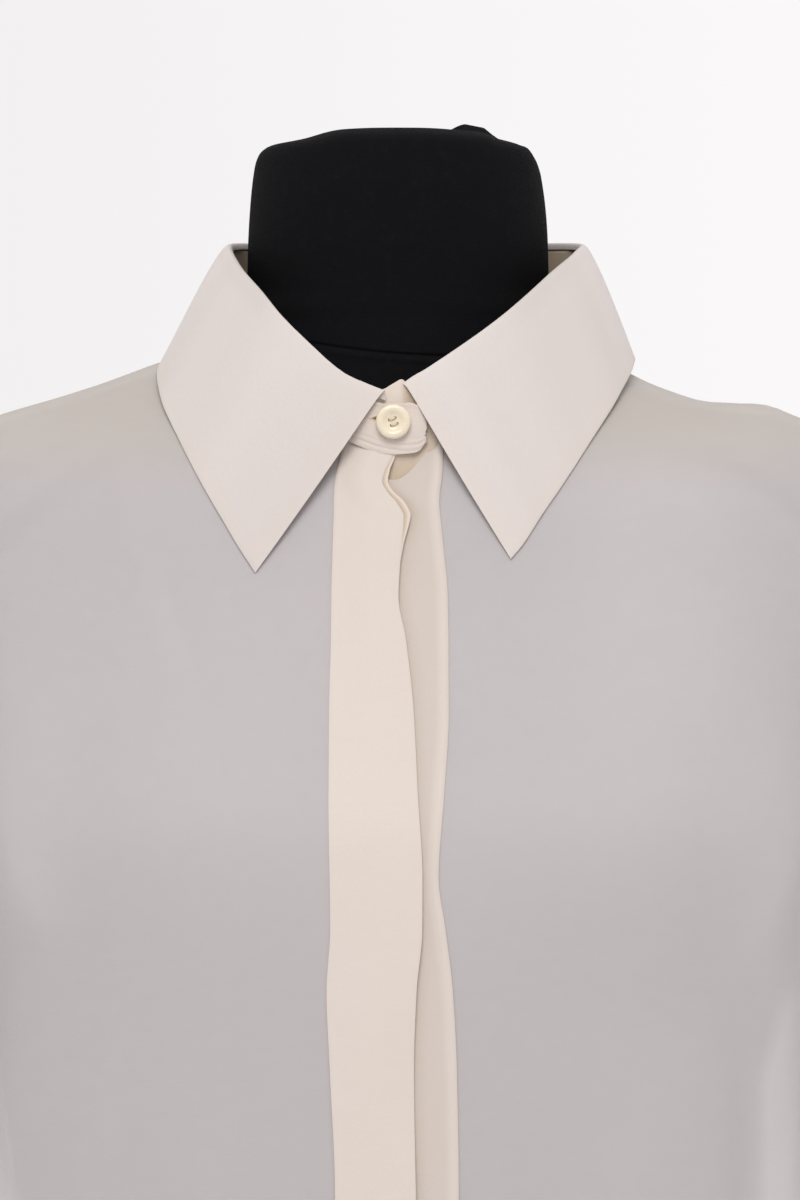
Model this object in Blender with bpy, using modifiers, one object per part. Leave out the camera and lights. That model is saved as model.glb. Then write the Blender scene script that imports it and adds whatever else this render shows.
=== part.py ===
"""A long-sleeved blouse of thin silk, with a pointed collar on a buttoned stand and a hidden front closing,
worn by a limbless dress form on a pole stand.

Lengths are in metres, +Z is up, the blouse faces -Y and the wearer's left is +X. The origin is the centre of
the stand's underside. Heights on the blouse are told as a drop below the point where shoulder and neck meet.
"""

import math
from collections import namedtuple

import bmesh
import bpy
import numpy as np
from mathutils import Matrix, Vector

MM = 0.001
SHOULDER_Z = 1.220  # height of the shoulder point at the neck, from which drops are told
SEAM_GAP = 0.0003  # between two pieces at a seam, and between pieces that lie on each other
WALL = 0.0012  # one layer of cloth, with its seams
BAND_WALL = 0.0014  # two layers with interfacing: plackets, stand, cuffs
COLLAR_WALL = 0.0016

UNDERARM_DROP = 0.238
SHOULDER_TIP_DROP = 0.043
HEM_DROP = 0.680
ARMHOLE_FRONT = math.radians(30)  # how far the armhole is cut in from the side, as an angle round the body
ARMHOLE_BACK = math.radians(25)

SLEEVE_END_DROP = 0.585
CUFF_DEEP = 0.060
CUFF_LAP = math.radians(22)  # how far the cuff's ends lie over each other, round the wrist

FORM_BOTTOM_DROP = 0.720
FORM_REST = 0.0022  # the form's shoulders lie this far below the cloth

BASE_RADIUS = 0.175
BASE_THICK = 0.012
POLE_RADIUS = 0.0125

COLLAR_BUTTON_RADIUS = 0.00635
CUFF_BUTTON_RADIUS = 0.0057

CLOTH_COLOUR = (0.80, 0.72, 0.66, 1.0)
BUTTON_COLOUR = (0.82, 0.68, 0.50, 1.0)
JERSEY_COLOUR = (0.012, 0.012, 0.014, 1.0)
STAND_COLOUR = (0.02, 0.02, 0.022, 1.0)

# The blouse's body in level sections, in millimetres: half its width, how far its front and back lie from the
# middle, and how far the dress form stays inside each of those.
Section = namedtuple("Section", "drop half front back room_side room_front room_back square")
BODY = (
    Section(-20, 59.5, 58.5, 57.5, 1.2, 1.2, 2.5, 2.0),
    Section(-8, 65.5, 59.5, 64.0, 3.0, 1.2, 2.0, 2.0),
    Section(0, 72.0, 60.5, 68.0, 3.0, 1.2, 1.5, 2.0),
    Section(10.2, 91.0, 62.7, 73.0, 1.5, 1.2, 1.5, 2.0),
    Section(17.2, 111.0, 65.0, 77.0, 1.5, 1.2, 1.5, 2.0),
    Section(21.2, 126.0, 66.5, 79.5, 1.5, 1.2, 1.5, 2.0),
    Section(25.3, 142.0, 68.3, 81.8, 1.5, 1.3, 1.5, 2.0),
    Section(30.2, 158.5, 70.5, 84.2, 1.6, 1.4, 1.5, 2.0),
    Section(35, 171.0, 72.6, 86.3, 1.8, 1.5, 1.6, 2.0),
    Section(40.7, 181.0, 74.6, 88.8, 2.2, 1.6, 1.7, 2.0),
    Section(47, 186.5, 76.5, 91.0, 3.0, 1.7, 1.8, 2.02),
    Section(60, 189.0, 80.0, 94.5, 4.5, 1.8, 2.0, 2.04),
    Section(90, 187.0, 87.0, 100.5, 9.0, 2.0, 2.0, 2.08),
    Section(120, 181.0, 96.5, 104.5, 13.0, 2.0, 2.0, 2.12),
    Section(150, 174.0, 107.0, 107.0, 15.0, 2.0, 2.5, 2.16),
    Section(185, 169.0, 118.5, 108.0, 15.5, 2.0, 3.5, 2.22),
    Section(215, 167.0, 122.5, 108.5, 16.0, 2.2, 5.0, 2.28),
    Section(245, 166.5, 124.0, 109.0, 17.0, 4.0, 7.0, 2.34),
    Section(290, 166.0, 124.5, 110.0, 27.0, 17.0, 13.0, 2.40),
    Section(350, 166.5, 125.0, 111.5, 36.0, 34.0, 26.0, 2.42),
    Section(415, 169.0, 126.0, 113.5, 48.0, 44.0, 36.0, 2.42),
    Section(500, 175.0, 128.0, 118.0, 26.0, 27.0, 18.0, 2.40),
    Section(600, 182.0, 131.0, 124.0, 10.0, 20.0, 9.0, 2.36),
    Section(680, 187.0, 134.0, 128.0, 12.0, 24.0, 12.0, 2.34),
    Section(720, 189.0, 135.0, 130.0, 17.0, 29.0, 18.0, 2.32),
)

# The form's neck above the cloth, in millimetres: half its width, and its front and back from the middle.
NeckRing = namedtuple("NeckRing", "drop half front back")
NECK = (
    NeckRing(-77, 26.0, 33.0, 19.0),
    NeckRing(-76, 41.0, 49.0, 33.0),
    NeckRing(-73, 49.5, 56.0, 41.0),
    NeckRing(-67, 53.4, 59.4, 45.4),
    NeckRing(-54, 55.8, 60.8, 48.6),
    NeckRing(-38, 56.7, 60.2, 51.0),
    NeckRing(-20, 57.2, 58.4, 53.5),
)

# Folds that hang in the blouse's body: angle round the body and width in degrees, depth in millimetres at the
# hem, the drop at which each begins in millimetres, and how far it leans on its way down, in degrees.
Fold = namedtuple("Fold", "turn width depth begins lean")
BODY_FOLDS = (
    Fold(29, 12, 10, 300, 3),
    Fold(52, 14, 14, 270, 4),
    Fold(77, 13, 12, 250, 2),
    Fold(104, 16, 17, 240, -3),
    Fold(131, 14, 12, 260, 3),
    Fold(156, 13, 15, 230, -2),
    Fold(181, 14, 11, 280, 3),
    Fold(207, 15, 17, 230, 3),
    Fold(233, 13, 11, 270, -3),
    Fold(259, 16, 15, 240, 2),
    Fold(285, 14, 12, 260, -3),
    Fold(309, 13, 14, 280, -4),
    Fold(332, 12, 9, 310, -2),
)

# The collar's two long edges, in millimetres, by the angle from the front: the fold that runs along the top of
# the stand and the leaf's outer edge. Shift moves both sides the same way along X, because the collar sits a
# little to the wearer's right in front; skew lowers the right side and lifts the left.
Leaf = namedtuple("Leaf", "turn fold_half fold_y fold_drop fold_shift edge_half edge_y edge_drop edge_shift skew")
LEAF = (
    Leaf(0, 5.2, -75.0, 19.4, -1.2, 45.0, -86.5, 82.2, -5.3, 2.7),
    Leaf(10, 13.8, -74.5, 13.6, -5.6, 49.3, -86.0, 76.5, -5.3, 1.0),
    Leaf(22, 25.7, -71.0, 3.5, -3.9, 56.0, -83.8, 66.0, -5.5, 0.3),
    Leaf(35, 38.4, -63.0, -8.0, -1.9, 65.0, -79.5, 53.0, -5.5, 0.0),
    Leaf(48, 49.0, -51.5, -19.0, -0.3, 74.0, -71.5, 37.5, -4.5, 0.0),
    Leaf(60, 57.5, -38.0, -28.0, 0.5, 82.0, -59.0, 23.0, -3.5, 0.0),
    Leaf(75, 63.8, -19.0, -35.5, 2.0, 87.7, -31.0, 9.5, -1.6, 0.0),
    Leaf(90, 66.0, 0.0, -39.5, 3.0, 89.8, 0.0, 3.0, 0.0, 0.0),
    Leaf(110, 62.5, 21.0, -41.5, 2.5, 85.0, 28.0, -0.5, 0.0, 0.0),
    Leaf(135, 47.5, 41.0, -42.7, 1.5, 64.0, 56.0, -1.5, 0.0, 0.0),
    Leaf(160, 23.0, 54.0, -43.5, 0.5, 31.0, 72.0, -2.0, 0.0, 0.0),
    Leaf(180, 0.0, 58.0, -43.7, 0.0, 0.0, 77.0, -2.0, 0.0, 0.0),
)
FOLD_WIDEST = 7  # the row at the side of the neck
FOLD_RISE = 0.0042  # the leaf's crest above the stand's upper edge

NECKLINE_HALF = 0.0675  # the neckline, as an oval seen from above
NECKLINE_FRONT = 0.0755
NECKLINE_BACK = 0.0605
NECKLINE_FLAT = 0.75  # below 1, its front is flatter than an oval's
STAND_START = math.radians(-7.5)  # the under end, left of the middle in front
STAND_END = math.radians(360 + 12.8)  # the end on top, rounded
STAND_LAP = 0.0026  # how far the end on top stands out from the one below
LAP_LOWER = 0.3  # and how much lower its top is, as a share of that
STAND_TOP_CORNER = 0.0090  # the radii of that end's two corners
STAND_LOW_CORNER = 0.0035
UNDER_END_DIP = 0.0115  # how far the under end hangs below the neckline, beside the top placket
UNDER_END_REACH = 0.0170
UNDER_END_LEAN = 0.12
BAND_TOP_DROP = 0.0440

# The front bands in millimetres: the top placket's two edges and the under placket's visible edge, along X.
Band = namedtuple("Band", "drop top_left top_right under_right")
BANDS = (
    Band(42, -20.3, -1.6, 16.2),
    Band(45.5, -21.0, -3.4, 16.1),
    Band(49, -21.9, -5.3, 16.0),
    Band(53, -22.6, -6.2, 15.6),
    Band(57, -23.0, -4.4, 15.0),
    Band(61, -23.1, -1.0, 14.8),
    Band(66, -23.2, 1.5, 15.2),
    Band(78, -23.5, 0.6, 16.4),
    Band(95, -23.9, -0.4, 17.8),
    Band(110, -24.0, 2.2, 18.0),
    Band(136, -24.5, 5.0, 18.0),
    Band(165, -24.5, 6.4, 16.3),
    Band(195, -24.0, 8.0, 14.2),
    Band(213, -23.8, 7.9, 16.6),
    Band(235, -25.1, 5.9, 19.2),
    Band(262, -24.0, 5.0, 20.6),
    Band(308, -22.1, 5.7, 21.3),
    Band(380, -23.6, 7.0, 20.2),
    Band(520, -22.5, 5.5, 21.0),
    Band(680, -24.0, 7.0, 20.0),
)
UNDER_BAND_WIDE = 0.029

# The hanging sleeves, in millimetres: where each level ring's middle lies out from the centre and along Y,
# and its half thickness across and half width along Y.
SleeveRing = namedtuple("SleeveRing", "drop out along half_x half_y")
SLEEVE = (
    SleeveRing(300, 204, 1, 27.0, 74.0),
    SleeveRing(350, 209, -1, 27.0, 71.0),
    SleeveRing(410, 215, -4, 26.5, 67.0),
    SleeveRing(470, 221, -8, 26.5, 64.0),
    SleeveRing(520, 227, -12, 26.5, 62.0),
    SleeveRing(555, 232, -15, 25.5, 58.0),
    SleeveRing(570, 234, -17, 22.5, 52.5),
    SleeveRing(580, 236, -18, 18.0, 46.0),
    SleeveRing(585, 236, -18, 18.0, 46.0),
    SleeveRing(650, 238, -20, 17.5, 45.0),
)
SLEEVE_FOLDS = (
    Fold(20, 34, 4.0, 200, 30),
    Fold(95, 40, 4.5, 260, -25),
    Fold(165, 36, 3.0, 320, 20),
    Fold(235, 42, 4.5, 240, -30),
    Fold(300, 34, 3.5, 280, 25),
)


# ---- curves and surfaces ------------------------------------------------------------------------------------


def column(table, name):
    """One column of a table of rows, as an array."""
    return np.array([getattr(row, name) for row in table], dtype=float)


def smooth(at, along, values):
    """A curve through the rows of a table, cubic between rows, that never swings past them."""
    step = np.diff(along)
    slope = np.diff(values) / step
    same_way = slope[:-1] * slope[1:] > 0
    mean = np.where(same_way, 2 * slope[:-1] * slope[1:] / np.where(same_way, slope[:-1] + slope[1:], 1), 0)
    tangent = np.concatenate([slope[:1], mean, slope[-1:]])
    at = np.clip(np.asarray(at, dtype=float), along[0], along[-1])
    row = np.clip(np.searchsorted(along, at) - 1, 0, len(step) - 1)
    t = (at - along[row]) / step[row]
    start = (1 + 2 * t) * (1 - t) ** 2 * values[row] + t * (1 - t) ** 2 * step[row] * tangent[row]
    end = t**2 * (3 - 2 * t) * values[row + 1] + t**2 * (t - 1) * step[row] * tangent[row + 1]
    return start + end


def read(table, name, at, key="drop"):
    """A column of a millimetre table at a length in metres, in metres."""
    return smooth(np.asarray(at) / MM, column(table, key), column(table, name)) * MM


def ease(t):
    """Rises from 0 to 1 with level ends."""
    t = np.clip(t, 0, 1)
    return t * t * (3 - 2 * t)


def power(value, exponent):
    """A signed power, for squared ovals."""
    return np.sign(value) * np.abs(value) ** exponent


def fold_height(folds, turn, drop, full_drop):
    """How far the folds lift the cloth: soft ridges that grow from where each begins to full_drop."""
    total = np.zeros(np.broadcast(turn, drop).shape)
    for fold in folds:
        grown = ease((drop - fold.begins * MM) / (full_drop - fold.begins * MM))
        middle = math.radians(fold.turn) + math.radians(fold.lean) * grown
        away = (turn - middle + math.pi) % (2 * math.pi) - math.pi
        bell = np.cos(np.clip(away / math.radians(fold.width), -1, 1) * math.pi) * 0.5 + 0.5
        total = total + fold.depth * MM * grown * bell
    return total


def on_body(turn, drop, lift=0.0):
    """A point of the blouse's body, by its angle (0 in front, 90 at the wearer's left) and drop, lifted off it."""
    turn, drop = np.broadcast_arrays(np.asarray(turn, dtype=float), np.asarray(drop, dtype=float))
    half = read(BODY, "half", drop)
    front = read(BODY, "front", drop)
    back = read(BODY, "back", drop)
    square = smooth(drop / MM, column(BODY, "drop"), column(BODY, "square"))
    deep = np.where(np.cos(turn) > 0, front, back)
    x = half * power(np.sin(turn), 2 / square)
    y = -deep * power(np.cos(turn), 2 / square)
    away = fold_height(BODY_FOLDS, turn, drop, HEM_DROP) + lift
    out_x = x / half**2
    out_y = y / deep**2
    size = np.hypot(out_x, out_y)
    return np.stack([x + away * out_x / size, y + away * out_y / size, SHOULDER_Z - drop], axis=-1)


def turn_at_x(x, drop):
    """The angle at which the front of the body's section reaches a place along X."""
    half = read(BODY, "half", drop)
    square = smooth(np.asarray(drop) / MM, column(BODY, "drop"), column(BODY, "square"))
    return np.sign(x) * np.arcsin(np.clip(np.abs(x) / half, 0, 1) ** (square / 2))


def drop_under(x, y):
    """How far down the body's surface lies below each place seen from above, by halving."""
    low = np.full(np.shape(x), -0.020)
    high = np.full(np.shape(x), 0.100)
    for _ in range(40):
        middle = (low + high) / 2
        deep = np.where(y < 0, read(BODY, "front", middle), read(BODY, "back", middle))
        outside = (x / read(BODY, "half", middle)) ** 2 + (y / deep) ** 2 > 1
        low = np.where(outside, middle, low)
        high = np.where(outside, high, middle)
    return (low + high) / 2


# ---- meshes -------------------------------------------------------------------------------------------------


def finished(name, mesh, material, home):
    """A named object of a mesh, shaded smooth, in the blouse's collection."""
    mesh.shade_smooth()
    mesh.set_sharp_from_angle(angle=math.radians(50))
    mesh.materials.append(material)
    piece = bpy.data.objects.new(name, mesh)
    home.objects.link(piece)
    return piece


def sheet(name, points, wall, material, home, flip=False, ring=False):
    """A grid of points as cloth: its faces look out, and Solidify gives it its wall on that side."""
    rows, columns = points.shape[:2]
    across = columns if ring else columns - 1
    faces = []
    for r in range(rows - 1):
        for c in range(across):
            d = (c + 1) % columns
            face = [r * columns + c, (r + 1) * columns + c, (r + 1) * columns + d, r * columns + d]
            faces.append(face[::-1] if flip else face)
    mesh = bpy.data.meshes.new(name)
    mesh.from_pydata(points.reshape(-1, 3).tolist(), [], faces)
    piece = finished(name, mesh, material, home)
    solid = piece.modifiers.new("wall", "SOLIDIFY")
    solid.thickness = wall
    solid.offset = 1
    solid.use_even_offset = False
    return piece


def turned(name, profile, steps, material, home):
    """A solid turned about Z from a profile of (radius, height) that runs down its outer side."""
    mesh = bpy.data.meshes.new(name)
    mesh.from_pydata([(r, 0, z) for r, z in profile], [(i, i + 1) for i in range(len(profile) - 1)], [])
    piece = finished(name, mesh, material, home)
    screw = piece.modifiers.new("turn", "SCREW")
    screw.steps = steps
    screw.render_steps = steps
    screw.use_merge_vertices = True
    screw.merge_threshold = 0.00001
    screw.use_smooth_shade = True
    return piece


def principled(name, colour, roughness, metallic=0.0):
    """A plain material for one sub-part."""
    material = bpy.data.materials.new(name)
    material.use_nodes = True
    shader = material.node_tree.nodes["Principled BSDF"]
    shader.inputs["Base Color"].default_value = colour
    shader.inputs["Roughness"].default_value = roughness
    shader.inputs["Metallic"].default_value = metallic
    return material


# ---- the blouse's body --------------------------------------------------------------------------------------


def armhole_turn(drop, cut):
    """Angle of the armhole's edge, front or back: 90 degrees at its top and bottom, cut in between them."""
    part = np.clip((drop - SHOULDER_TIP_DROP) / (UNDERARM_DROP - SHOULDER_TIP_DROP), 0, 1)
    return math.pi / 2 - cut * np.sin(math.pi * part**0.85) ** 0.7


def side_gap(drop, name):
    """The half seam gap as an angle at the side of a section."""
    return SEAM_GAP / 2 / read(BODY, name, drop)


def neckline(turn):
    """The neckline: an oval seen from above, dropped onto the body's surface."""
    deep = np.where(np.cos(turn) > 0, NECKLINE_FRONT, NECKLINE_BACK)
    flat = np.where(np.cos(turn) > 0, NECKLINE_FLAT, 1.0)
    x = NECKLINE_HALF * np.sin(turn)
    y = -deep * power(np.cos(turn), flat)
    return np.stack([x, y, SHOULDER_Z - drop_under(x, y)], axis=-1)


def neckline_turns(drops):
    """At each drop, the angle round the body's section at which the neckline crosses it, front or back."""
    turns = np.linspace(0, math.pi, 361)
    line = neckline(turns)
    line_drop = SHOULDER_Z - line[:, 2]
    order = np.argsort(line_drop)
    x = np.interp(drops, line_drop[order], line[order, 0])
    return np.arcsin(np.clip(x / read(BODY, "half", drops), 0, 1))


ARM_STEPS = 10
ARM_DROPS = SHOULDER_TIP_DROP + (UNDERARM_DROP - SHOULDER_TIP_DROP) * (
    0.5 - 0.5 * np.cos(np.linspace(0, math.pi, ARM_STEPS + 1))
)
FRONT_TOP_DROPS = np.array([-3, 3, 9, 15, 21, 27, 33, 38]) * MM
BACK_TOP_DROPS = np.array([-10.5, -6, 0, 7, 14, 21, 29, 37]) * MM
LOWER_DROPS = np.array([268, 305, 350, 400, 455, 512, 570, 626, HEM_DROP / MM]) * MM
FRONT_COLUMNS = 13
BACK_COLUMNS = 23


def front_panel(side, material, home):
    """One front: from its band's seam to the side seam, up to the neckline, shoulder and armhole."""
    drops = np.concatenate([FRONT_TOP_DROPS, ARM_DROPS, LOWER_DROPS])
    band = read(BANDS, "under_right" if side > 0 else "top_left", drops)
    inner = np.abs(turn_at_x(band + side * 1.5 * SEAM_GAP, drops))
    neck = np.where(drops < BAND_TOP_DROP, neckline_turns(drops), 0)
    inner = np.maximum(inner, neck)[:, None]
    outer = (armhole_turn(drops, ARMHOLE_FRONT) - side_gap(drops, "front"))[:, None]
    across = np.linspace(0, 1, FRONT_COLUMNS)[None, :]
    points = on_body(side * (inner + (outer - inner) * across), drops[:, None])
    name = "front_left" if side > 0 else "front_right"
    return sheet(name, points, WALL, material, home, flip=side < 0)


def back_panel(material, home):
    """The back, whole, from one side seam to the other."""
    drops = np.concatenate([BACK_TOP_DROPS, ARM_DROPS, LOWER_DROPS])
    edge = math.pi - (armhole_turn(drops, ARMHOLE_BACK) - side_gap(drops, "back"))
    above_shoulder = drops < -0.0055
    neck = neckline_turns(drops)
    edge = np.where(above_shoulder, math.pi - neck, edge)[:, None]
    across = np.linspace(-1, 1, BACK_COLUMNS)[None, :]
    points = on_body(math.pi + (math.pi - edge) * across, drops[:, None])
    return sheet("back", points, WALL, material, home)


# ---- plackets -----------------------------------------------------------------------------------------------

BAND_ACROSS = np.array([0, 0.06, 0.24, 0.50, 0.76, 1])
BAND_SEWN = 0.06  # the share of the top band's width that lies flat beside its seam
BAND_RISEN = 0.24  # where it has climbed onto the under band
BAND_DIP_ENDS = 0.0660
UNDER_BAND_ACROSS = np.array([0, 0.30, 0.42, 0.54, 0.66, 0.80, 1])


def neckline_drop(x):
    """The neckline's drop in front, at a place along X."""
    return SHOULDER_Z - neckline(np.arcsin(x / NECKLINE_HALF))[..., 2]


def placket_points(left_at, right_at, across, lift, dip):
    """A band on the front between two edges that vary with the drop; its top follows the stand's lower edge."""
    rows = np.concatenate([[BAND_TOP_DROP], column(BANDS, "drop")[1:] * MM])[:, None]
    x = left_at(rows) + (right_at(rows) - left_at(rows)) * across
    unsettled = np.clip(1 - (rows - BAND_TOP_DROP) / (BAND_DIP_ENDS - BAND_TOP_DROP), 0, 1)
    follow = neckline_drop(x) - neckline_drop(0.0) + dip * under_end_dip(x)
    drops = rows + follow * unsettled
    x = left_at(drops) + (right_at(drops) - left_at(drops)) * across
    return on_body(turn_at_x(x, drops), drops, lift)


def under_placket(material, home):
    """The wearer's left band. Its other edge is out of sight below the top one."""
    def right_at(drop):
        return read(BANDS, "under_right", drop)

    def left_at(drop):
        return right_at(drop) - UNDER_BAND_WIDE

    points = placket_points(left_at, right_at, UNDER_BAND_ACROSS, 0, 1)
    return sheet("placket_under", points, BAND_WALL, material, home)


def top_placket(material, home):
    """The wearer's right band, sewn to its front at one edge and lying on the under band with the other."""
    def left_at(drop):
        return read(BANDS, "top_left", drop)

    def right_at(drop):
        return read(BANDS, "top_right", drop)

    over_under = BAND_WALL + 3 * SEAM_GAP
    lift = over_under * ease((BAND_ACROSS - BAND_SEWN) / (BAND_RISEN - BAND_SEWN))
    points = placket_points(left_at, right_at, BAND_ACROSS, lift, 0)
    return sheet("placket_top", points, BAND_WALL, material, home)


# ---- stand and collar ---------------------------------------------------------------------------------------


def leaf_line(turn, which):
    """The fold line or the outer edge of the collar at angles from 0 to 360 degrees round the neck."""
    turn = np.asarray(turn, dtype=float)
    side = np.where(np.sin(turn) >= 0, 1.0, -1.0)
    from_front = np.degrees(np.arccos(np.clip(np.cos(turn), -1, 1)))
    angles = column(LEAF, "turn")
    half = smooth(from_front, angles, column(LEAF, which + "_half"))
    y = smooth(from_front, angles, column(LEAF, which + "_y"))
    drop = smooth(from_front, angles, column(LEAF, which + "_drop"))
    shift = smooth(from_front, angles, column(LEAF, which + "_shift"))
    skew = smooth(from_front, angles, column(LEAF, "skew")) if which == "edge" else 0
    x = shift + side * half
    return np.stack([x * MM, y * MM, SHOULDER_Z - (drop - side * skew) * MM], axis=-1)


def in_front(turn):
    """1 in the middle of the front, easing to 0 a little way round the neck."""
    start = math.cos(math.radians(40))
    return ease((np.cos(turn) - start) / (1 - start))


def stand_top(turn):
    """The stand's upper edge: the fold line less its rise, and level between the leaf's two ends."""
    line = leaf_line(turn, "fold")
    away = np.degrees(np.arccos(np.clip(np.cos(turn), -1, 1)))
    shift = smooth(away, column(LEAF, "turn"), column(LEAF, "fold_shift")) * MM
    x = LEAF[FOLD_WIDEST].fold_half * MM * np.sin(turn) + shift
    quarter = np.radians(np.linspace(-89.9, 89.9, 120))
    front_fold = leaf_line(quarter, "fold")
    z = np.interp(x, front_fold[:, 0], front_fold[:, 2])
    z = np.where(np.cos(turn) > 0, z, line[..., 2])
    tucked = FOLD_RISE + 3 * SEAM_GAP * in_front(turn)
    return np.stack([x, line[..., 1] + SEAM_GAP, z - tucked], axis=-1)


def stand_bottom(turn, top):
    """The stand's lower edge, on the neckline under its upper edge; its under end hangs lower on the body."""
    near_front = ease((np.cos(turn) - math.cos(math.radians(70))) / 0.4)
    below = np.arcsin(np.clip(top[..., 0] / NECKLINE_HALF, -1, 1))
    round_turn = (turn + math.pi) % (2 * math.pi) - math.pi
    line = neckline(np.where(near_front > 0, round_turn + near_front * (below - round_turn), round_turn))
    facing_front = np.clip(np.cos(turn), 0, 1) ** 2
    line[:, 2] += 2 * SEAM_GAP + WALL * (1 - 0.8 * facing_front)
    dip = np.where(turn < math.pi / 2, under_end_dip(line[:, 0]), 0)
    line[:, 2] -= dip
    line[:, 1] -= dip * UNDER_END_LEAN
    return line


def under_end_dip(x):
    """How far the under end of the stand hangs down at a place along X."""
    return UNDER_END_DIP * (1 - ease((x + 0.001) / UNDER_END_REACH))


def corner(reach, radius):
    """How far a rounded corner cuts into an edge at a distance from the end."""
    inside = np.clip(radius - reach, 0, radius)
    return radius - np.sqrt(radius**2 - inside**2)


STAND_START_STEPS = np.radians([0, 4, 8, 11, 14, 17, 20, 24])
STAND_COLUMNS = 34
STAND_END_STEPS = np.radians([14, 10.5, 7.5, 5, 3, 1.5, 0.6, 0])
STAND_ROWS = 4


def collar_stand(material, home):
    """The neck band: it starts under the middle of the front, runs round by the wearer's left and laps over."""
    start = STAND_START + STAND_START_STEPS
    end = STAND_END - STAND_END_STEPS
    turn = np.concatenate([start, np.linspace(start[-1], end[0], STAND_COLUMNS)[1:-1], end])
    top = stand_top(turn)
    bottom = stand_bottom(turn, top)
    reach = (STAND_END - turn) * NECKLINE_HALF
    top[:, 2] -= corner(reach, STAND_TOP_CORNER)
    bottom[:, 2] += corner(reach, STAND_LOW_CORNER)
    lapped = STAND_LAP * ease((turn - math.radians(220)) / math.radians(110))
    out = np.stack([np.sin(turn), -np.cos(turn), np.zeros_like(turn)], axis=-1)
    share = np.linspace(1, 0, STAND_ROWS)[:, None, None]
    top[:, 2] -= lapped * LAP_LOWER
    points = bottom + (top - bottom) * share + out * lapped[:, None]
    return sheet("collar_stand", points, BAND_WALL, material, home)


COLLAR_COLUMNS = 43
COLLAR_STEPS = (0.0, 0.14, 0.30, 0.50, 0.75, 1.0)


def collar(material, home):
    """The leaf: it starts on the stand's upper edge, turns over in a soft roll and falls to its outer edge."""
    turn = np.linspace(math.radians(0.01), math.radians(359.99), COLLAR_COLUMNS)
    fold = leaf_line(turn, "fold")
    edge = leaf_line(turn, "edge")
    out = np.stack([np.sin(turn), -np.cos(turn), np.zeros_like(turn)], axis=-1)
    up = np.array([0, 0, 1.0])
    start = fold - up * (FOLD_RISE - 2 * SEAM_GAP)
    fuller = in_front(turn)[:, None]
    first = start + up * (0.0056 + 0.0032 * fuller) + out * 0.0005
    second = start + up * (0.0017 + 0.0008 * fuller) + out * (0.0048 + 0.0077 * fuller)
    t = np.array(COLLAR_STEPS)[:, None, None]
    points = (
        (1 - t) ** 3 * start + 3 * t * (1 - t) ** 2 * first + 3 * t**2 * (1 - t) * second + t**3 * edge
    )
    return sheet("collar", points, COLLAR_WALL, material, home, flip=False)


# ---- sleeves ------------------------------------------------------------------------------------------------

SLEEVE_COLUMNS = 2 * ARM_STEPS
CAP_ROWS = 8
SLEEVE_ROWS = (335, 380, 430, 480, 520, 550, 568, 580, 584.4)


def armhole_loop(around):
    """The left armhole's edge by the angle round the arm (0 on top, 90 in front), and the way the body faces there."""
    low = (1 - np.cos(around)) / 2
    drop = SHOULDER_TIP_DROP + (UNDERARM_DROP - SHOULDER_TIP_DROP) * low
    in_front = np.sin(around) >= 0
    turn = np.where(in_front, armhole_turn(drop, ARMHOLE_FRONT), math.pi - armhole_turn(drop, ARMHOLE_BACK))
    edge = on_body(turn, drop)
    return edge, (on_body(turn, drop, MM) - edge) / MM


def sleeve_ring(around, drop):
    """A level ring of the hanging sleeve, with its folds."""
    out = read(SLEEVE, "out", drop)
    along = read(SLEEVE, "along", drop)
    lift = fold_height(SLEEVE_FOLDS, around, drop, SLEEVE_END_DROP * 0.86)
    lift = lift * ease((SLEEVE_END_DROP - drop) / 0.060)
    half_x = read(SLEEVE, "half_x", drop) + lift
    half_y = read(SLEEVE, "half_y", drop) + lift
    x = out + half_x * power(np.cos(around), 0.9)
    y = along - half_y * power(np.sin(around), 0.9)
    return np.stack([x, y, SHOULDER_Z - drop + np.zeros_like(x)], axis=-1)


def sleeve(side, material, home):
    """A set-in sleeve: its cap rounds from the armhole's edge into level rings that hang to the cuff."""
    around = np.linspace(0, 2 * math.pi, SLEEVE_COLUMNS, endpoint=False)
    loop, facing = armhole_loop(around)
    below = (1 - np.cos(around)) / 2
    leave = np.stack([0.95 - 0.15 * below, -0.10 * np.sin(around), -0.34 - 0.45 * below], axis=-1)
    leave = leave / np.linalg.norm(leave, axis=-1, keepdims=True)
    clear = SEAM_GAP + WALL * np.maximum(0, np.sum(facing * leave, axis=-1)) + 1.6 * WALL * below**2
    start = loop + leave * clear[:, None]
    end = sleeve_ring(around, 0.300)
    span = np.linalg.norm(end - start, axis=-1, keepdims=True)
    t = np.linspace(0, 1, CAP_ROWS)[:, None, None]
    down = np.array([0.06, 0, -1.0])
    cap = (
        (1 + 2 * t) * (1 - t) ** 2 * start
        + t * (1 - t) ** 2 * (leave * span * 0.75)
        + t**2 * (3 - 2 * t) * end
        + t**2 * (t - 1) * (down * span * 0.9)
    )
    rings = sleeve_ring(around[None, :], np.array(SLEEVE_ROWS)[:, None] * MM)
    points = np.concatenate([cap, rings])
    points[..., 0] *= side
    name = "sleeve_left" if side > 0 else "sleeve_right"
    return sheet(name, points, WALL, material, home, flip=side > 0, ring=True)


CUFF_COLUMNS = 30
CUFF_ROWS = 3
CUFF_OPENING = math.radians(305)  # where the cuff's end lies on the other, at the back of the outer side


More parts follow.
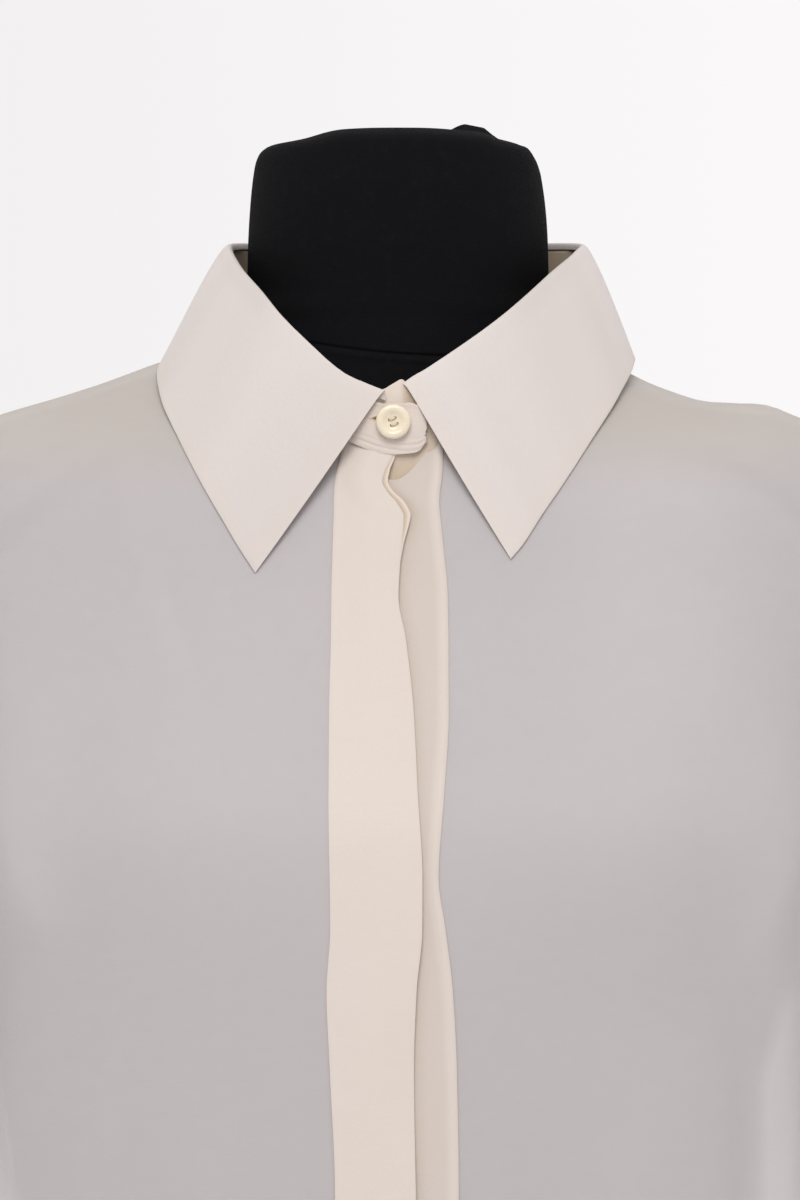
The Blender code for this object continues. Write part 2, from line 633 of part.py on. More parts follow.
def cuff(side, material, home):
    """A straight band round the wrist whose ends lap, one over the other, all the way up."""
    around = np.linspace(CUFF_OPENING - 2 * math.pi - CUFF_LAP, CUFF_OPENING, CUFF_COLUMNS)[None, :]
    drop = np.linspace(SLEEVE_END_DROP, SLEEVE_END_DROP + CUFF_DEEP, CUFF_ROWS)[:, None]
    points = sleeve_ring(around, drop)
    lapped = (BAND_WALL + 2 * SEAM_GAP) * ease((around - around[0, 0] - math.pi) / (math.pi * 0.9))
    centre = np.stack([read(SLEEVE, "out", drop), read(SLEEVE, "along", drop), SHOULDER_Z - drop], axis=-1)
    away = points - centre
    away = away / np.linalg.norm(away, axis=-1, keepdims=True)
    points = points + away * lapped[..., None]
    points[..., 0] *= side
    name = "cuff_left" if side > 0 else "cuff_right"
    return sheet(name, points, BAND_WALL, material, home, flip=side > 0)


# ---- buttons ------------------------------------------------------------------------------------------------


def button(name, radius, steps, place, normal, tilt, material, home, cutters):
    """A four-hole button with a raised rim, its back on place and its face along normal."""
    profile = [
        (0, 0.26),
        (0.42, 0.26),
        (0.56, 0.38),
        (0.78, 0.42),
        (0.95, 0.36),
        (1.0, 0.24),
        (0.88, 0.06),
        (0.70, 0.0),
        (0, 0.0),
    ]
    piece = turned(name, [(r * radius, z * radius) for r, z in profile], steps, material, home)
    frame = Vector(normal).to_track_quat("Z", "Y").to_matrix().to_4x4()
    frame = Matrix.Translation(place) @ frame @ Matrix.Rotation(tilt, 4, "Z")
    piece.matrix_world = frame
    for corner in range(4):
        angle = math.radians(45 + 90 * corner)
        spot = Vector((math.cos(angle), math.sin(angle), 0)) * radius * 0.24
        mesh = bpy.data.meshes.new(f"{name}_hole_{corner}")
        hole = bmesh.new()
        bmesh.ops.create_cone(
            hole, cap_ends=True, segments=8, radius1=radius * 0.105, radius2=radius * 0.105, depth=radius * 1.5
        )
        hole.to_mesh(mesh)
        hole.free()
        cutter = bpy.data.objects.new(mesh.name, mesh)
        cutters.objects.link(cutter)
        cutter.matrix_world = frame @ Matrix.Translation(spot)
        cutter.hide_render = True
        cutter.display_type = "WIRE"
        cut = piece.modifiers.new(f"hole_{corner}", "BOOLEAN")
        cut.operation = "DIFFERENCE"
        cut.object = cutter
    return piece


# ---- dress form and stand -----------------------------------------------------------------------------------

FORM_COLUMNS = 32
FORM_DROPS = (-10, -2, 5, 11, 17, 23, 29, 36, 45, 58, 78, 105, 135, 168, 200, 230, 258, 290, 330, 370, 412, 460,
              510, 560, 610, 665)


def form_ring(drop, turn):
    """A level ring of the form inside the blouse: the cloth's section a little higher up, less its room."""
    above = drop - FORM_REST * float(1 - ease((drop - 0.12) / 0.10))
    half = read(BODY, "half", above) - read(BODY, "room_side", above)
    front = read(BODY, "front", above) - read(BODY, "room_front", above)
    back = read(BODY, "back", above) - read(BODY, "room_back", above)
    return oval(turn, half, front, back, drop, 2.0 + 0.25 * float(ease((drop - 0.15) / 0.15)))


def oval(turn, half, front, back, drop, square=2.0):
    """A level squared oval, with its own depth in front and behind."""
    deep = np.where(np.cos(turn) > 0, front, back)
    x = half * power(np.sin(turn), 2 / square)
    y = -deep * power(np.cos(turn), 2 / square)
    return np.stack([x, y, SHOULDER_Z - drop + np.zeros_like(x)], axis=-1)


def form_torso(material, home):
    """The torso and neck, padded and covered in jersey: one closed, smooth body with no limbs."""
    turn = np.linspace(0, 2 * math.pi, FORM_COLUMNS, endpoint=False)
    rings = [oval(turn, row.half * MM, row.front * MM, row.back * MM, row.drop * MM) for row in NECK]
    rings += [form_ring(drop * MM, turn) for drop in FORM_DROPS]
    rim = form_ring(FORM_BOTTOM_DROP - 0.006, turn)
    foot = form_ring(FORM_BOTTOM_DROP, turn)
    foot[:, :2] *= 0.955
    rings += [rim, foot]
    mesh = bpy.data.meshes.new("form_torso")
    body = bmesh.new()
    loops = [[body.verts.new(point) for point in ring] for ring in rings]
    for upper, lower in zip(loops, loops[1:]):
        for i in range(FORM_COLUMNS):
            j = (i + 1) % FORM_COLUMNS
            body.faces.new((upper[i], lower[i], lower[j], upper[j]))
    body.faces.new(loops[0])
    body.faces.new(loops[-1][::-1])
    body.to_mesh(mesh)
    body.free()
    return finished("form_torso", mesh, material, home)


def stand_base(material, home):
    """A round steel plate with a low crown and a rounded rim; its flat underside is what the stand rests on."""
    profile = [
        (0, BASE_THICK),
        (0.030, BASE_THICK),
        (0.120, BASE_THICK - 0.001),
        (BASE_RADIUS - 0.006, BASE_THICK - 0.003),
        (BASE_RADIUS - 0.0015, BASE_THICK - 0.006),
        (BASE_RADIUS, BASE_THICK - 0.009),
        (BASE_RADIUS - 0.001, 0),
        (0, 0),
    ]
    return turned("stand_base", profile, 40, material, home)


def stand_pole(material, home):
    """The pole from the base to the torso's underside, with a collar at each end."""
    low = BASE_THICK + SEAM_GAP
    high = SHOULDER_Z - FORM_BOTTOM_DROP - SEAM_GAP
    profile = [
        (0, high),
        (0.032, high),
        (0.032, high - 0.006),
        (0.018, high - 0.012),
        (POLE_RADIUS, high - 0.016),
        (POLE_RADIUS, low + 0.030),
        (0.019, low + 0.026),
        (0.022, low + 0.004),
        (0.022, low),
        (0, low),
    ]
    return turned("stand_pole", profile, 20, material, home)


# ---- all together -------------------------------------------------------------------------------------------


def collar_button(material, home, cutters):
    """On the lapped end of the stand, in the middle of its height."""
    lift = STAND_LAP + BAND_WALL + 2 * SEAM_GAP
    place = (-0.0015, -NECKLINE_FRONT - lift, SHOULDER_Z - 0.0313)
    lean = math.radians(2)
    normal = (0, -math.cos(lean), math.sin(lean))
    return button("collar_button", COLLAR_BUTTON_RADIUS, 24, place, normal, math.radians(10.3), material, home,
                  cutters)


def cuff_button(side, material, home, cutters):
    """Near the end of the cuff that lies on top, half way down."""
    around = CUFF_OPENING - CUFF_LAP * 0.5
    drop = SLEEVE_END_DROP + CUFF_DEEP / 2
    spots = sleeve_ring(np.array([around, around + 0.02]), np.array([drop, drop]))
    lift = 2 * BAND_WALL + 4 * SEAM_GAP
    along = spots[1] - spots[0]
    normal = np.array([-along[1], along[0], 0.0])
    normal = normal / np.linalg.norm(normal)
    if normal[0] < 0:
        normal = -normal
    place = spots[0] + normal * lift
    mirror = np.array([side, 1, 1])
    name = "cuff_button_left" if side > 0 else "cuff_button_right"
    return button(name, CUFF_BUTTON_RADIUS, 16, (place * mirror).tolist(), (normal * mirror).tolist(), 0.0,
                  material, home, cutters)


def main():
    for thing in list(bpy.data.objects):
        bpy.data.objects.remove(thing)
    home = bpy.data.collections.new("silk_blouse")
    cutters = bpy.data.collections.new("cutters")
    bpy.context.scene.collection.children.link(home)
    bpy.context.scene.collection.children.link(cutters)
    for side in (-1, 1):
        which = "left" if side > 0 else "right"
        front_panel(side, principled(f"front_{which}", CLOTH_COLOUR, 0.45), home)
        sleeve(side, principled(f"sleeve_{which}", CLOTH_COLOUR, 0.45), home)
        cuff(side, principled(f"cuff_{which}", CLOTH_COLOUR, 0.42), home)
        cuff_button(side, principled(f"cuff_button_{which}", BUTTON_COLOUR, 0.25), home, cutters)
    back_panel(principled("back", CLOTH_COLOUR, 0.45), home)
    under_placket(principled("placket_under", CLOTH_COLOUR, 0.42), home)
    top_placket(principled("placket_top", CLOTH_COLOUR, 0.42), home)
    collar_stand(principled("collar_stand", CLOTH_COLOUR, 0.42), home)
    collar(principled("collar", CLOTH_COLOUR, 0.42), home)
    collar_button(principled("collar_button", BUTTON_COLOUR, 0.25), home, cutters)
    form_torso(principled("form_torso", JERSEY_COLOUR, 0.9), home)
    stand_pole(principled("stand_pole", STAND_COLOUR, 0.35, 0.6), home)
    stand_base(principled("stand_base", STAND_COLOUR, 0.4, 0.6), home)


main()
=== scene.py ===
"""A long-sleeved silk crepe blouse on a black limbless dress form with a pole and a round base.

Lengths are in metres, +Z is up, the blouse faces -Y and the wearer's left is +X. Heights on the blouse are
told as a drop below the point where shoulder and neck meet, and places round it as a turn: 0 in the middle of
the front, 90 degrees at the wearer's left, 180 in the middle of the back.
"""

import math
from collections import namedtuple

import bpy
import numpy as np
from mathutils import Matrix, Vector


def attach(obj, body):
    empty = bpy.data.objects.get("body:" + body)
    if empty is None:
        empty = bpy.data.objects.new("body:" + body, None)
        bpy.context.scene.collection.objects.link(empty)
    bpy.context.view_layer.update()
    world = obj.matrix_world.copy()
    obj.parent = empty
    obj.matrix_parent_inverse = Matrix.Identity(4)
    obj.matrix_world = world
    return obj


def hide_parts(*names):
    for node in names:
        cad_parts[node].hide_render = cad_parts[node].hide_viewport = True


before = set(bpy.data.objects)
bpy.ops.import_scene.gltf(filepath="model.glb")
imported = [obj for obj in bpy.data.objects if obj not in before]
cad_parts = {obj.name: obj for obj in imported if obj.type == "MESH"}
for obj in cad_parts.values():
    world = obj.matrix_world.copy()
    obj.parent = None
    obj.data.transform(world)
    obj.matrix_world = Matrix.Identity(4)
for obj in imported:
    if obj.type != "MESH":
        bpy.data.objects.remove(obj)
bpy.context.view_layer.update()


# ---- stand ---------------------------------------------------------------------------------------
# A steel pole in a socket at the middle of a round, low-crowned steel base, all sprayed satin black. The pole
# enters a flange that is screwed to the torso's underside.

MM = 0.001
SHOULDER_Z = 1.220
FORM_BOTTOM_DROP = 0.720
BASE_RADIUS = 0.175
BASE_THICK = 0.012
POLE_RADIUS = 0.0125
SEAM_GAP = 0.0003


class Wire:
    """An output socket of a node. Python's operators on it add the Math nodes that work them out."""

    def __init__(self, nodes, socket):
        self.nodes = nodes
        self.socket = socket

    def math(self, operation, first, second=0.0):
        """One Math node on two values or wires."""
        return self.nodes.node("ShaderNodeMath", {0: first, 1: second}, operation=operation)

    def __add__(self, other):
        return self.math("ADD", self, other)

    __radd__ = __add__

    def __mul__(self, other):
        return self.math("MULTIPLY", self, other)

    __rmul__ = __mul__

    def __sub__(self, other):
        return self.math("SUBTRACT", self, other)

    def __rsub__(self, other):
        return self.math("SUBTRACT", other, self)

    def __pow__(self, other):
        return self.math("POWER", self, other)

    def clamped(self):
        """The value kept from 0 to 1."""
        return self.math("MAXIMUM", self.math("MINIMUM", self, 1.0), 0.0)

    def beside(self, output):
        """Another output of the same node."""
        return Wire(self.nodes, self.socket.node.outputs[output])


class Nodes:
    """A node tree, to which one method adds every node."""

    def __init__(self, tree):
        self.tree = tree

    def node(self, kind, inputs=None, output=0, **settings):
        """A node of any kind: its settings first, then its sockets' values or wires."""
        made = self.tree.nodes.new(kind)
        for setting, value in settings.items():
            setattr(made, setting, value)
        for socket, value in (inputs or {}).items():
            if isinstance(value, Wire):
                self.tree.links.new(value.socket, made.inputs[socket])
            else:
                made.inputs[socket].default_value = value
        return Wire(self, made.outputs[output])


class Finish(Nodes):
    """A material: constants are set on its Principled shader, and what varies is fed from wires."""

    def __init__(self, name, **constants):
        self.material = bpy.data.materials.new(name)
        self.material.use_nodes = True
        super().__init__(self.material.node_tree)
        self.shader = self.tree.nodes["Principled BSDF"]
        for socket, value in constants.items():
            self.shader.inputs[socket.replace("_", " ")].default_value = value

    def place(self):
        """Object coordinates, in metres."""
        return self.node("ShaderNodeTexCoord", output="Object")

    def along_cloth(self):
        """The piece's UV map: metres across and down the cloth."""
        return self.node("ShaderNodeUVMap", uv_map="cloth")

    def mark(self, name):
        """A value that the mesh carries on its points."""
        return self.node("ShaderNodeAttribute", output="Fac", attribute_name=name)

    def noise(self, coordinates, size, detail=2.0, roughness=0.5):
        """Noise from 0 to 1 whose blotches are about size metres across."""
        sockets = {"Vector": coordinates, "Scale": 1 / size, "Detail": detail, "Roughness": roughness}
        return self.node("ShaderNodeTexNoise", sockets)

    def wave(self, coordinates, scale, way, distortion=0.0):
        """Even waves from 0 to 1, such as threads, across the way given."""
        sockets = {"Vector": coordinates, "Scale": scale, "Distortion": distortion}
        return self.node("ShaderNodeTexWave", sockets, output="Fac", bands_direction=way)

    def mix(self, share, first, second):
        """A colour between two, by a share. Sockets 6 and 7 and output 2 are the colour ones."""
        return self.node("ShaderNodeMix", {0: share, 6: first, 7: second}, output=2, data_type="RGBA")

    def brightened(self, tone, value):
        """A colour times a value."""
        return self.node("ShaderNodeHueSaturation", {"Color": tone, "Value": value}, output="Color")

    def bump(self, height, depth, below=None):
        """A bumped normal: height from 0 to 1 over a depth in metres."""
        sockets = {"Height": height, "Distance": depth, "Strength": 1.0}
        if below is not None:
            sockets["Normal"] = below
        return self.node("ShaderNodeBump", sockets)

    def feed(self, **wires):
        """Leads the wires into the shader's sockets and gives the material."""
        for socket, wire in wires.items():
            self.tree.links.new(wire.socket, self.shader.inputs[socket.replace("_", " ")])
        return self.material


def colour(red, green, blue):
    """A linear colour with full alpha."""
    return (red, green, blue, 1.0)


def unit(vectors):
    """The same ways, with a length of 1."""
    return vectors / np.linalg.norm(vectors, axis=-1, keepdims=True)


def full_turn(count):
    """A row of even angles all round."""
    return np.linspace(0, 2 * math.pi, count, endpoint=False)[None, :]


def circles(radius, turn, height):
    """Level circles about Z: x = radius sin turn, y = -radius cos turn."""
    return np.stack(np.broadcast_arrays(radius * np.sin(turn), -radius * np.cos(turn), height), axis=-1)


def surface(name, points, material, ring=False, flip=False, poles=False, **marks):
    """A piece from a grid of points, rows down and columns across, its faces looking out.

    Its UV map is the length along the grid across and down, in metres. Marks are values on the points. A ring
    closes it across, and poles merges the points of rows that shrink to one place.
    """
    rows, columns = points.shape[:2]
    across = columns if ring else columns - 1
    row = np.arange(rows - 1)[:, None]
    col = np.arange(across)[None, :]
    after = (col + 1) % columns
    corners = np.stack(
        [row * columns + col, (row + 1) * columns + col, (row + 1) * columns + after, row * columns + after],
        axis=-1,
    )
    wide = np.linalg.norm(np.diff(points, axis=1, append=points[:, :1]), axis=-1).mean(axis=0)[:across]
    tall = np.linalg.norm(np.diff(points, axis=0), axis=-1).mean(axis=1)
    u = np.concatenate([[0], np.cumsum(wide)])
    v = -np.concatenate([[0], np.cumsum(tall)])
    left, right = u[col] + 0 * row, u[col + 1] + 0 * row
    above, below = v[row] + 0 * col, v[row + 1] + 0 * col
    uv = np.stack([np.stack([left, left, right, right], -1), np.stack([above, below, below, above], -1)], -1)
    if flip:
        corners = corners[..., ::-1]
        uv = uv[..., ::-1, :]
    mesh = bpy.data.meshes.new(name)
    mesh.from_pydata(points.reshape(-1, 3).tolist(), [], corners.reshape(-1, 4).tolist())
    layer = mesh.uv_layers.new(name="cloth")
    layer.uv.foreach_set("vector", np.ascontiguousarray(uv, dtype=np.float32).ravel())
    for mark, values in marks.items():
        attribute = mesh.attributes.new(mark, "FLOAT", "POINT")
        filled = np.broadcast_to(values, (rows, columns)).astype(np.float32)
        attribute.data.foreach_set("value", np.ascontiguousarray(filled).ravel())
    mesh.shade_smooth()
    mesh.materials.append(material)
    piece = bpy.data.objects.new(name, mesh)
    bpy.context.scene.collection.objects.link(piece)
    if poles:
        merge = piece.modifiers.new("poles", "WELD")
        merge.merge_threshold = 1e-6
    return piece


def turned(name, profile, rounding, material):
    """A solid turned about Z. The profile's (radius, height) corners, from the top middle round to the bottom
    middle, are rounded by a short cut across each, and the corner cuts are swept through a full circle."""
    corner = np.array(profile)
    before = corner[1:-1] - corner[:-2]
    after = corner[2:] - corner[1:-1]
    shorter = np.minimum(np.linalg.norm(before, axis=1), np.linalg.norm(after, axis=1))[:, None]
    reach = np.minimum(rounding, 0.4 * shorter)
    start = corner[1:-1] - unit(before) * reach
    end = corner[1:-1] + unit(after) * reach
    middle = 0.25 * start + 0.5 * corner[1:-1] + 0.25 * end
    line = np.concatenate([corner[:1], np.stack([start, middle, end], axis=1).reshape(-1, 2), corner[-1:]])
    return surface(name, circles(line[:, :1], full_turn(96), line[:, 1:]), material, ring=True, poles=True)


def satin_black():
    """Sprayed satin paint: faint orange peel, and a little dust that dulls it in patches."""
    finish = Finish("satin black paint", Metallic=0.0, Specular_IOR_Level=0.5)
    place = finish.place()
    dust = finish.noise(place, 0.05, 4.0)
    peel = finish.noise(place, 0.0016, 1.0)
    tone = finish.mix(dust, colour(0.014, 0.014, 0.015), colour(0.024, 0.024, 0.025))
    return finish.feed(Base_Color=tone, Roughness=0.30 + 0.16 * dust, Normal=finish.bump(peel, 0.00004))


PAINT_ROUNDING = 0.0015  # how far a sprayed corner is rounded
BASE_PROFILE = (
    (0, BASE_THICK),
    (0.030, BASE_THICK),
    (0.120, BASE_THICK - 0.001),
    (BASE_RADIUS - 0.006, BASE_THICK - 0.003),
    (BASE_RADIUS - 0.0015, BASE_THICK - 0.006),
    (BASE_RADIUS, BASE_THICK - 0.009),
    (BASE_RADIUS - 0.001, 0),
    (0, 0),
)
POLE_LOW = BASE_THICK + SEAM_GAP
POLE_HIGH = SHOULDER_Z - FORM_BOTTOM_DROP - SEAM_GAP
POLE_PROFILE = (
    (0, POLE_HIGH),
    (0.032, POLE_HIGH),
    (0.032, POLE_HIGH - 0.006),
    (0.018, POLE_HIGH - 0.012),
    (POLE_RADIUS, POLE_HIGH - 0.016),
    (POLE_RADIUS, POLE_LOW + 0.030),
    (0.019, POLE_LOW + 0.026),
    (0.022, POLE_LOW + 0.004),
    (0.022, POLE_LOW),
    (0, POLE_LOW),
)

paint = satin_black()
for piece_name, node_name, profile in (
    ("base_plate", "stand_base", BASE_PROFILE),
    ("pole_tube", "stand_pole", POLE_PROFILE),
):
    piece = turned(piece_name, profile, PAINT_ROUNDING, paint)
    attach(piece, "root")
    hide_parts(node_name)


# ---- dress form ----------------------------------------------------------------------------------
# A hard limbless torso padded and covered in black stretch jersey. The body's cover and the neck's are joined
# by a seam low on the neck, and the neck's is gathered and knotted on top.


def table(columns, *rows):
    """Rows of numbers under named columns."""
    Row = namedtuple("Row", columns)
    return [Row(*row) for row in rows]


# The blouse's body in level sections, in millimetres: half its width, how far its front and back lie from the
# middle, how far the dress form stays inside each of those, and the exponent that squares the oval.
BODY = table(
    "drop half front back room_side room_front room_back square",
    (-20, 59.5, 58.5, 57.5, 1.2, 1.2, 2.5, 2.0),
    (-8, 65.5, 59.5, 64.0, 3.0, 1.2, 2.0, 2.0),
    (0, 72.0, 60.5, 68.0, 3.0, 1.2, 1.5, 2.0),
    (10.2, 91.0, 62.7, 73.0, 1.5, 1.2, 1.5, 2.0),
    (17.2, 111.0, 65.0, 77.0, 1.5, 1.2, 1.5, 2.0),
    (21.2, 126.0, 66.5, 79.5, 1.5, 1.2, 1.5, 2.0),
    (25.3, 142.0, 68.3, 81.8, 1.5, 1.3, 1.5, 2.0),
    (30.2, 158.5, 70.5, 84.2, 1.6, 1.4, 1.5, 2.0),
    (35, 171.0, 72.6, 86.3, 1.8, 1.5, 1.6, 2.0),
    (40.7, 181.0, 74.6, 88.8, 2.2, 1.6, 1.7, 2.0),
    (47, 186.5, 76.5, 91.0, 3.0, 1.7, 1.8, 2.02),
    (60, 189.0, 80.0, 94.5, 4.5, 1.8, 2.0, 2.04),
    (90, 187.0, 87.0, 100.5, 9.0, 2.0, 2.0, 2.08),
    (120, 181.0, 96.5, 104.5, 13.0, 2.0, 2.0, 2.12),
    (150, 174.0, 107.0, 107.0, 15.0, 2.0, 2.5, 2.16),
    (185, 169.0, 118.5, 108.0, 15.5, 2.0, 3.5, 2.22),
    (215, 167.0, 122.5, 108.5, 16.0, 2.2, 5.0, 2.28),
    (245, 166.5, 124.0, 109.0, 15.0, 4.0, 7.0, 2.34),
    (290, 166.0, 124.5, 110.0, 18.5, 17.0, 13.0, 2.40),
    (350, 166.5, 125.0, 111.5, 29.0, 34.0, 26.0, 2.42),
    (415, 169.0, 126.0, 113.5, 48.0, 44.0, 36.0, 2.42),
    (500, 175.0, 128.0, 118.0, 26.0, 27.0, 18.0, 2.40),
    (600, 182.0, 131.0, 124.0, 10.0, 20.0, 9.0, 2.36),
    (680, 187.0, 134.0, 128.0, 12.0, 24.0, 12.0, 2.34),
    (720, 189.0, 135.0, 130.0, 17.0, 29.0, 18.0, 2.32),
)

NECK = table(
    "drop half front back",
    (-79.6, 26.0, 33.0, 22.0),
    (-78.8, 36.0, 44.0, 31.0),
    (-77.2, 43.5, 51.0, 37.0),
    (-75.0, 50.0, 56.0, 41.5),
    (-72.6, 52.6, 58.2, 43.6),
    (-68.0, 54.2, 59.4, 45.4),
    (-54, 55.8, 60.8, 48.6),
    (-38, 56.7, 60.2, 51.0),
    (-20, 57.2, 58.4, 53.5),
    (-10, 62.3, 58.2, 60.5),
)

# How much higher the form and its cloth lie on top of the shoulders than an even pair would, side to side.
UNEVEN = table(
    "x higher",
    (-172, 0.0),
    (-150, 1.0),
    (-131, 1.5),
    (-113, 2.5),
    (-95, 3.2),
    (-86, 2.3),
    (-72, 0.0),
    (72, 0.0),
    (86, -2.4),
    (100, -3.2),
    (112, -3.4),
    (126, -1.0),
    (140, 1.6),
    (152, 0.2),
    (162, 0.0),
)
UNEVEN_DEEP = 0.045  # how far forwards and backwards that fades
FORM_REST = 0.0022  # how far the form's shoulders stay under the cloth
FORM_COLUMNS = 180
NECK_SEAM_DROP = 0.0057
NECK_SEAM_SLOPE = 0.075  # it falls towards the wearer's left
NECK_SEAM_BOW = 1.8
NECK_SEAM_BEHIND = 0.20  # its slope backwards, from a little behind the front
KNOT_X = 0.0278  # the knot of the gathered jersey, on top
KNOT_Y = 0.006
KNOT_HIGH = 0.0050
KNOT_HALF = 0.0088
KNOT_DEEP = 0.0090
TUCKS = 17  # rays of the gathers round the knot
TUCK_HIGH = 0.0004


def column(rows, name):
    """One column of a table, as an array."""
    return np.array([getattr(row, name) for row in rows], dtype=float)


def smooth(at, along, values):
    """A curve through the rows of a table, cubic between rows, that never swings past them."""
    step = np.diff(along)
    slope = np.diff(values) / step
    same_way = slope[:-1] * slope[1:] > 0
    mean = np.where(same_way, 2 * slope[:-1] * slope[1:] / np.where(same_way, slope[:-1] + slope[1:], 1), 0)
    tangent = np.concatenate([slope[:1], mean, slope[-1:]])
    at = np.clip(np.asarray(at, dtype=float), along[0], along[-1])
    row = np.clip(np.searchsorted(along, at) - 1, 0, len(step) - 1)
    t = (at - along[row]) / step[row]
    start = (1 + 2 * t) * (1 - t) ** 2 * values[row] + t * (1 - t) ** 2 * step[row] * tangent[row]
    end = t**2 * (3 - 2 * t) * values[row + 1] + t**2 * (t - 1) * step[row] * tangent[row + 1]
    return start + end


def curve(rows, name, at, key="drop"):
    """A column of a table, read off the smooth curve through its rows at places along the key column."""
    return smooth(at, column(rows, key), column(rows, name))


def read(rows, name, at, key="drop"):
    """The same for a millimetre table and lengths in metres."""
    return curve(rows, name, np.asarray(at) / MM, key) * MM


def ease(t):
    """Rises from 0 to 1 with level ends."""
    t = np.clip(t, 0, 1)
    return t * t * (3 - 2 * t)


def ramp(value, start, over):
    """Eases from 0 where the value is at the start to 1 where it is past that by over."""
    return ease((value - start) / over)


def bell(away, wide):
    """A Gaussian: 1 in the middle, a third at its width."""
    return np.exp(-((away / wide) ** 2))


def spaced(*runs):
    """Places along a grid: runs of even steps, each from a start to an end in a number of places."""
    return np.concatenate([np.linspace(*run) for run in runs])


def power(value, exponent):
    """A signed power, for squared ovals."""
    return np.sign(value) * np.abs(value) ** exponent


def squared(turn, half, deep, square):
    """Across and depth on a squared oval: half sin^(2/square) and -deep cos^(2/square)."""
    return half * power(np.sin(turn), 2 / square), -deep * power(np.cos(turn), 2 / square)


def uneven(x, y):
    """How much higher the shoulders lie at a place along X, fading as a Gaussian forwards and backwards."""
    return read(UNEVEN, "higher", x, key="x") * bell(y, UNEVEN_DEEP)


def form_surface(turn, drop):
    """The form's rings, squared ovals: low down the blouse's sections, a little higher up and less their
    room, and above them the neck's own."""
    above = drop - FORM_REST * (1 - ramp(drop, 0.12, 0.10))
    rooms = {"half": "room_side", "front": "room_front", "back": "room_back"}
    body = [read(BODY, name, above) - read(BODY, room, above) for name, room in rooms.items()]
    neck = [read(NECK, name, drop) for name in rooms]
    settled = ramp(drop, -0.014, 0.010)
    half, front, back = [high + (low - high) * settled for high, low in zip(neck, body)]
    deep = np.where(np.cos(turn) > 0, front, back)
    x, y = squared(turn, half, deep, 2.0 + 0.25 * ramp(drop, 0.15, 0.15))
    return np.stack([x, y, SHOULDER_Z - drop + uneven(x, y)], axis=-1)


def dress_form(jersey):
    """The torso from the knot on the neck down to the underside, in one skin closed at both poles."""
    turn = full_turn(FORM_COLUMNS)
    drops = spaced((-79.6, -70, 20), (-69, -2, 50), (-1, 10, 34), (11, 714, 120))[:, None] * MM
    rings = form_surface(turn, drops)
    x, y, z = np.moveaxis(rings, -1, 0)
    behind = NECK_SEAM_BEHIND * np.maximum(0, y + 0.045)
    seam_z = SHOULDER_Z - NECK_SEAM_DROP - NECK_SEAM_SLOPE * x + NECK_SEAM_BOW * x**2 - behind
    away = (z - seam_z) / MM
    groove = -0.9 * bell(away, 0.55) + 0.45 * bell(away + 1.9, 1.3)
    pucker = 0.10 * np.sin(turn * 61) * bell(away, 5.0)
    grow = 1 + (groove + pucker) * MM / np.hypot(x, y)
    rings = np.stack([x * grow, y * grow, z], axis=-1)
    rim, under = rings[:1], form_surface(turn, np.array([[FORM_BOTTOM_DROP]]))
    shrink, close = np.linspace(0.97, 0.0, 40)[:, None, None], np.linspace(0.955, 0, 8)[:, None, None]
    cap = rim * [1, 1, 0] * shrink + rim * [0, 0, 1] + [0, 0, 0.0006] * (1 - shrink)
    foot = under * [1, 1, 0] * close + under * [0, 0, 1]
    points = np.concatenate([cap[::-1], rings, foot])
    x, y, z = np.moveaxis(points, -1, 0)
    lowered = 0.0012 * ramp(x, 0.030, 0.010) + 0.0036 * ramp(x, 0.048, 0.007)
    lowered = lowered + 0.0010 * ramp(-x, 0.020, 0.016)
    lowered = lowered + 0.0006 * np.sin(x / 0.0061 + 1.0) * bell(x + 0.040, 0.018)
    off_x, off_y = x - KNOT_X, y - KNOT_Y
    knot = KNOT_HIGH * np.exp(-(np.abs(off_x / KNOT_HALF) ** 2.4) - (off_y / KNOT_DEEP) ** 2)
    ray, far = np.arctan2(off_x, off_y), np.hypot(off_x, off_y)
    tucks = TUCK_HIGH * np.sin(ray * TUCKS + 1.3 * np.sin(ray * 3))
    tucks = tucks * np.exp(-far / 0.022) * (1 - bell(far, 0.004))
    points[..., 2] = z + ramp(z, SHOULDER_Z + 0.040, 0.030) * (knot + tucks - lowered)
    return surface("black_dress_form", points, jersey, ring=True, poles=True)


def black_jersey():
    """Matt black knitted jersey: fine wales and courses, and a trace of grey lint."""
    finish = Finish("black jersey", Specular_IOR_Level=0.06, Sheen_Weight=0.0)
    cloth = finish.along_cloth()
    place = finish.place()
    wale = finish.wave(cloth, 330.0, "X", 0.6)
    course = finish.wave(cloth, 420.0, "Y", 0.8)
    lint = finish.noise(place, 0.0045, 5.0, 0.7) ** 8.0 * 2.0
    worn = finish.noise(place, 0.09, 3.0)
    dark = finish.mix(worn, colour(0.0052, 0.0053, 0.0062), colour(0.0080, 0.0081, 0.0094))
    tone = finish.mix(lint.clamped(), dark, colour(0.030, 0.030, 0.033))
    return finish.feed(
        Base_Color=tone,
        Roughness=0.86 + 0.10 * worn,
        Normal=finish.bump(wale * 0.6 + course * 0.4, 0.00012),
    )


form = dress_form(black_jersey())
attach(form, "root")
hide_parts("form_torso")


# ---- back ----------------------------------------------------------------------------------------
# One whole width of thin silk crepe, cut with neckline, shoulders and armholes, and hung from the shoulders.
# It is sheer in one layer; where seam allowances and the narrow hem double it, less shows through.

